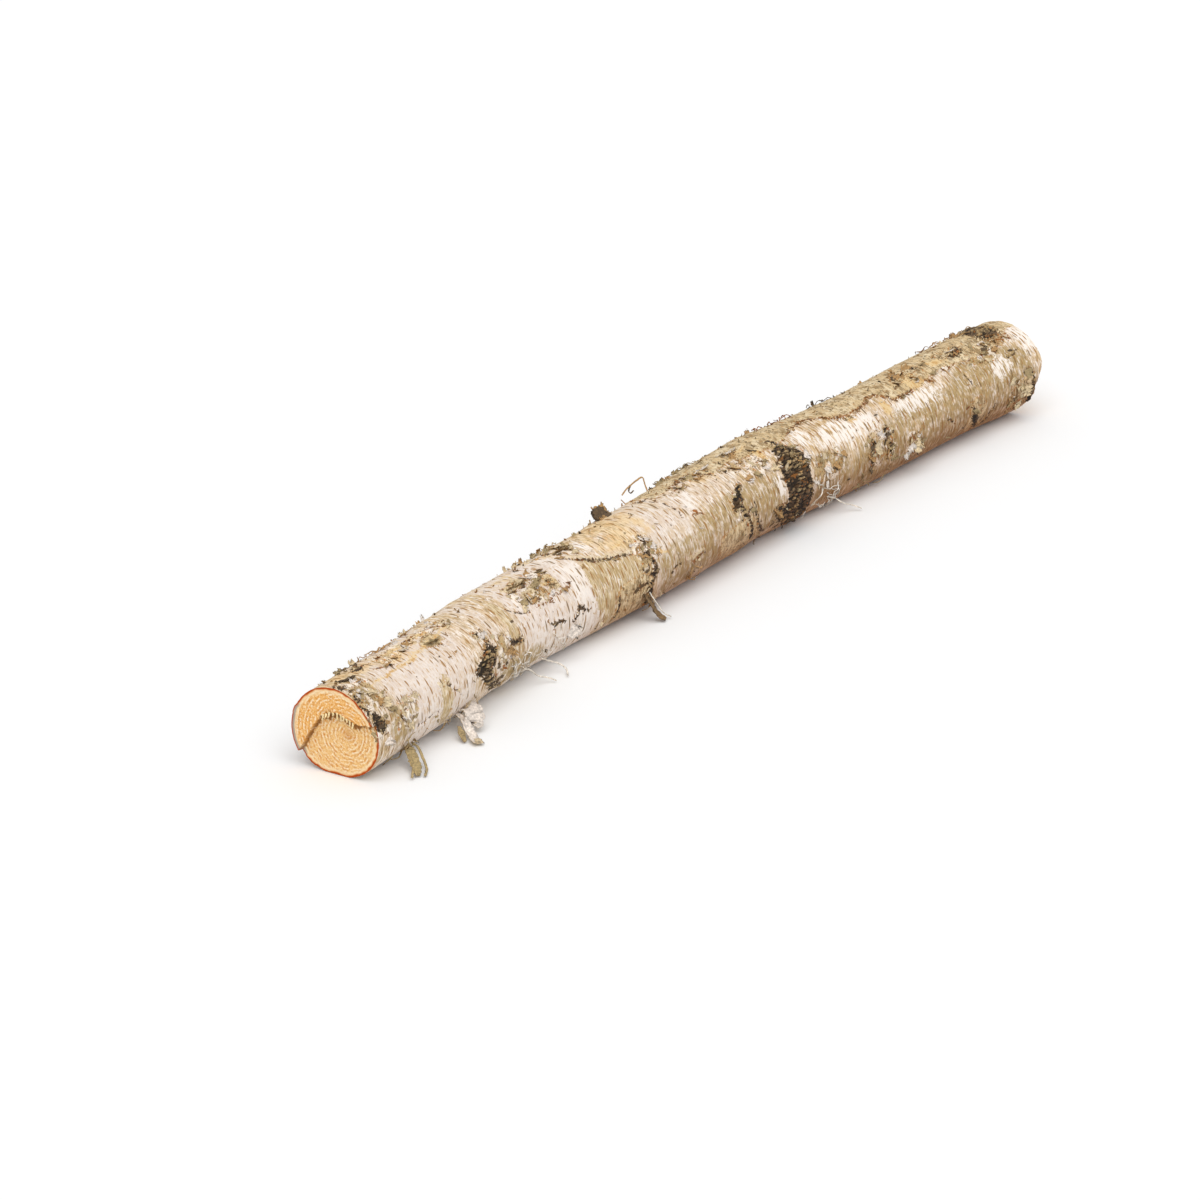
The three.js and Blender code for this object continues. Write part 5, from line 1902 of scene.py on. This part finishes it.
@dataclass(frozen=True)
class Studio:
    """Plain pale floor, soft light and the camera of the photograph."""

    azimuth: float = -55.848
    elevation: float = 21.783
    distance: float = 5.0
    aim: Triple = (0.005, -0.0034, 0.039)
    slide: Pair = (-0.08017, -0.05667)  # m, camera moved right and up from the aim
    lens: float = 184.4
    sensor: float = 36.0
    clip_end: float = 100.0
    floor: str = "#F2F4F7"
    floor_drop: float = 0.0004
    floor_reach: float = 30.0
    floor_roughness: float = 0.9
    floor_specular: float = 0.1
    room_light: float = 0.68
    sun_colour: str = "#FFFBF5"
    sun_strength: float = 1.75
    sun_angle: float = 60.0  # degrees across, for soft shadows
    sun_from: Triple = (0.2, -1.5, 2.5)  # to the right, away from the camera, up

    def build(self) -> None:
        """Set up floor, lights and camera."""
        self.build_floor()
        self.build_lights()
        self.build_camera()

    def axes(self) -> tuple[Vector, Vector, Vector]:
        """Work out the directions of the picture.

        Returns:
            To the right, up and forward.
        """
        az = math.radians(self.azimuth)
        el = math.radians(self.elevation)
        right = Vector((math.cos(az), math.sin(az), 0))
        ahead = Vector((-math.cos(el) * math.sin(az), math.cos(el) * math.cos(az), -math.sin(el)))
        return right, right.cross(ahead), ahead

    def build_floor(self) -> None:
        """Lay a large matt sheet under the log."""
        mesh = bpy.data.meshes.new("floor")
        r, z = self.floor_reach, -self.floor_drop
        mesh.from_pydata([(-r, -r, z), (r, -r, z), (r, r, z), (-r, r, z)], [], [(0, 1, 2, 3)])
        material, _, shader = matt("matt_paper_floor", self.floor_roughness, self.floor_specular)
        shader.inputs["Base Color"].default_value = linear(self.floor)
        mesh.materials.append(material)
        floor = bpy.data.objects.new("floor", mesh)
        bpy.context.scene.collection.objects.link(floor)

    def build_lights(self) -> None:
        """Light the room evenly, and more from the upper left."""
        scene = bpy.context.scene
        scene.view_settings.view_transform = "Standard"
        world = bpy.data.worlds.new("room")
        world.use_nodes = True
        room = world.node_tree.nodes["Background"]
        room.inputs["Color"].default_value = (1, 1, 1, 1)
        room.inputs["Strength"].default_value = self.room_light
        scene.world = world
        right, _, ahead = self.axes()
        lamp = bpy.data.lights.new("soft_sky", "SUN")
        lamp.energy = self.sun_strength
        lamp.angle = math.radians(self.sun_angle)
        lamp.color = linear(self.sun_colour)[:3]
        piece = bpy.data.objects.new("soft_sky", lamp)
        level = Vector((ahead.x, ahead.y, 0)).normalized()
        place = right * self.sun_from[0] + level * self.sun_from[1] + Vector((0, 0, self.sun_from[2]))
        piece.location = place
        piece.rotation_euler = (-place).to_track_quat("-Z", "Y").to_euler()
        scene.collection.objects.link(piece)

    def build_camera(self) -> None:
        """Place the camera at the photograph's viewing angle."""
        right, up, ahead = self.axes()
        data = bpy.data.cameras.new("camera")
        data.lens = self.lens
        data.sensor_width = self.sensor
        data.clip_end = self.clip_end
        camera = bpy.data.objects.new("camera", data)
        eye = Vector(self.aim) - ahead * self.distance + right * self.slide[0] + up * self.slide[1]
        turn = Matrix((right, up, -ahead)).transposed().to_4x4()
        camera.matrix_world = Matrix.Translation(eye) @ turn
        bpy.context.scene.collection.objects.link(camera)
        bpy.context.scene.camera = camera


def report(pieces: list[Object]) -> None:
    """Log the name and face count of each piece."""
    for piece in pieces:
        LOG.info("%s: %d faces", piece.name, len(piece.data.polygons))


def main() -> None:
    """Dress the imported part."""
    logging.basicConfig(level=logging.INFO, format="%(name)s %(message)s")
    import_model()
    stem = Stem()
    cuts = SawCuts()
    loose = LoosePaper().build()
    bark = BarkStem(stem, cuts, BirchBark())
    report(bark.build())
    report(SawnEnds(stem, cuts, SawnBirch()).build(bark, loose))
    report(Peels(stem, loose).build())
    report(Strips(stem, loose).build())
    Studio().build()


if __name__ == "__main__":
    main()
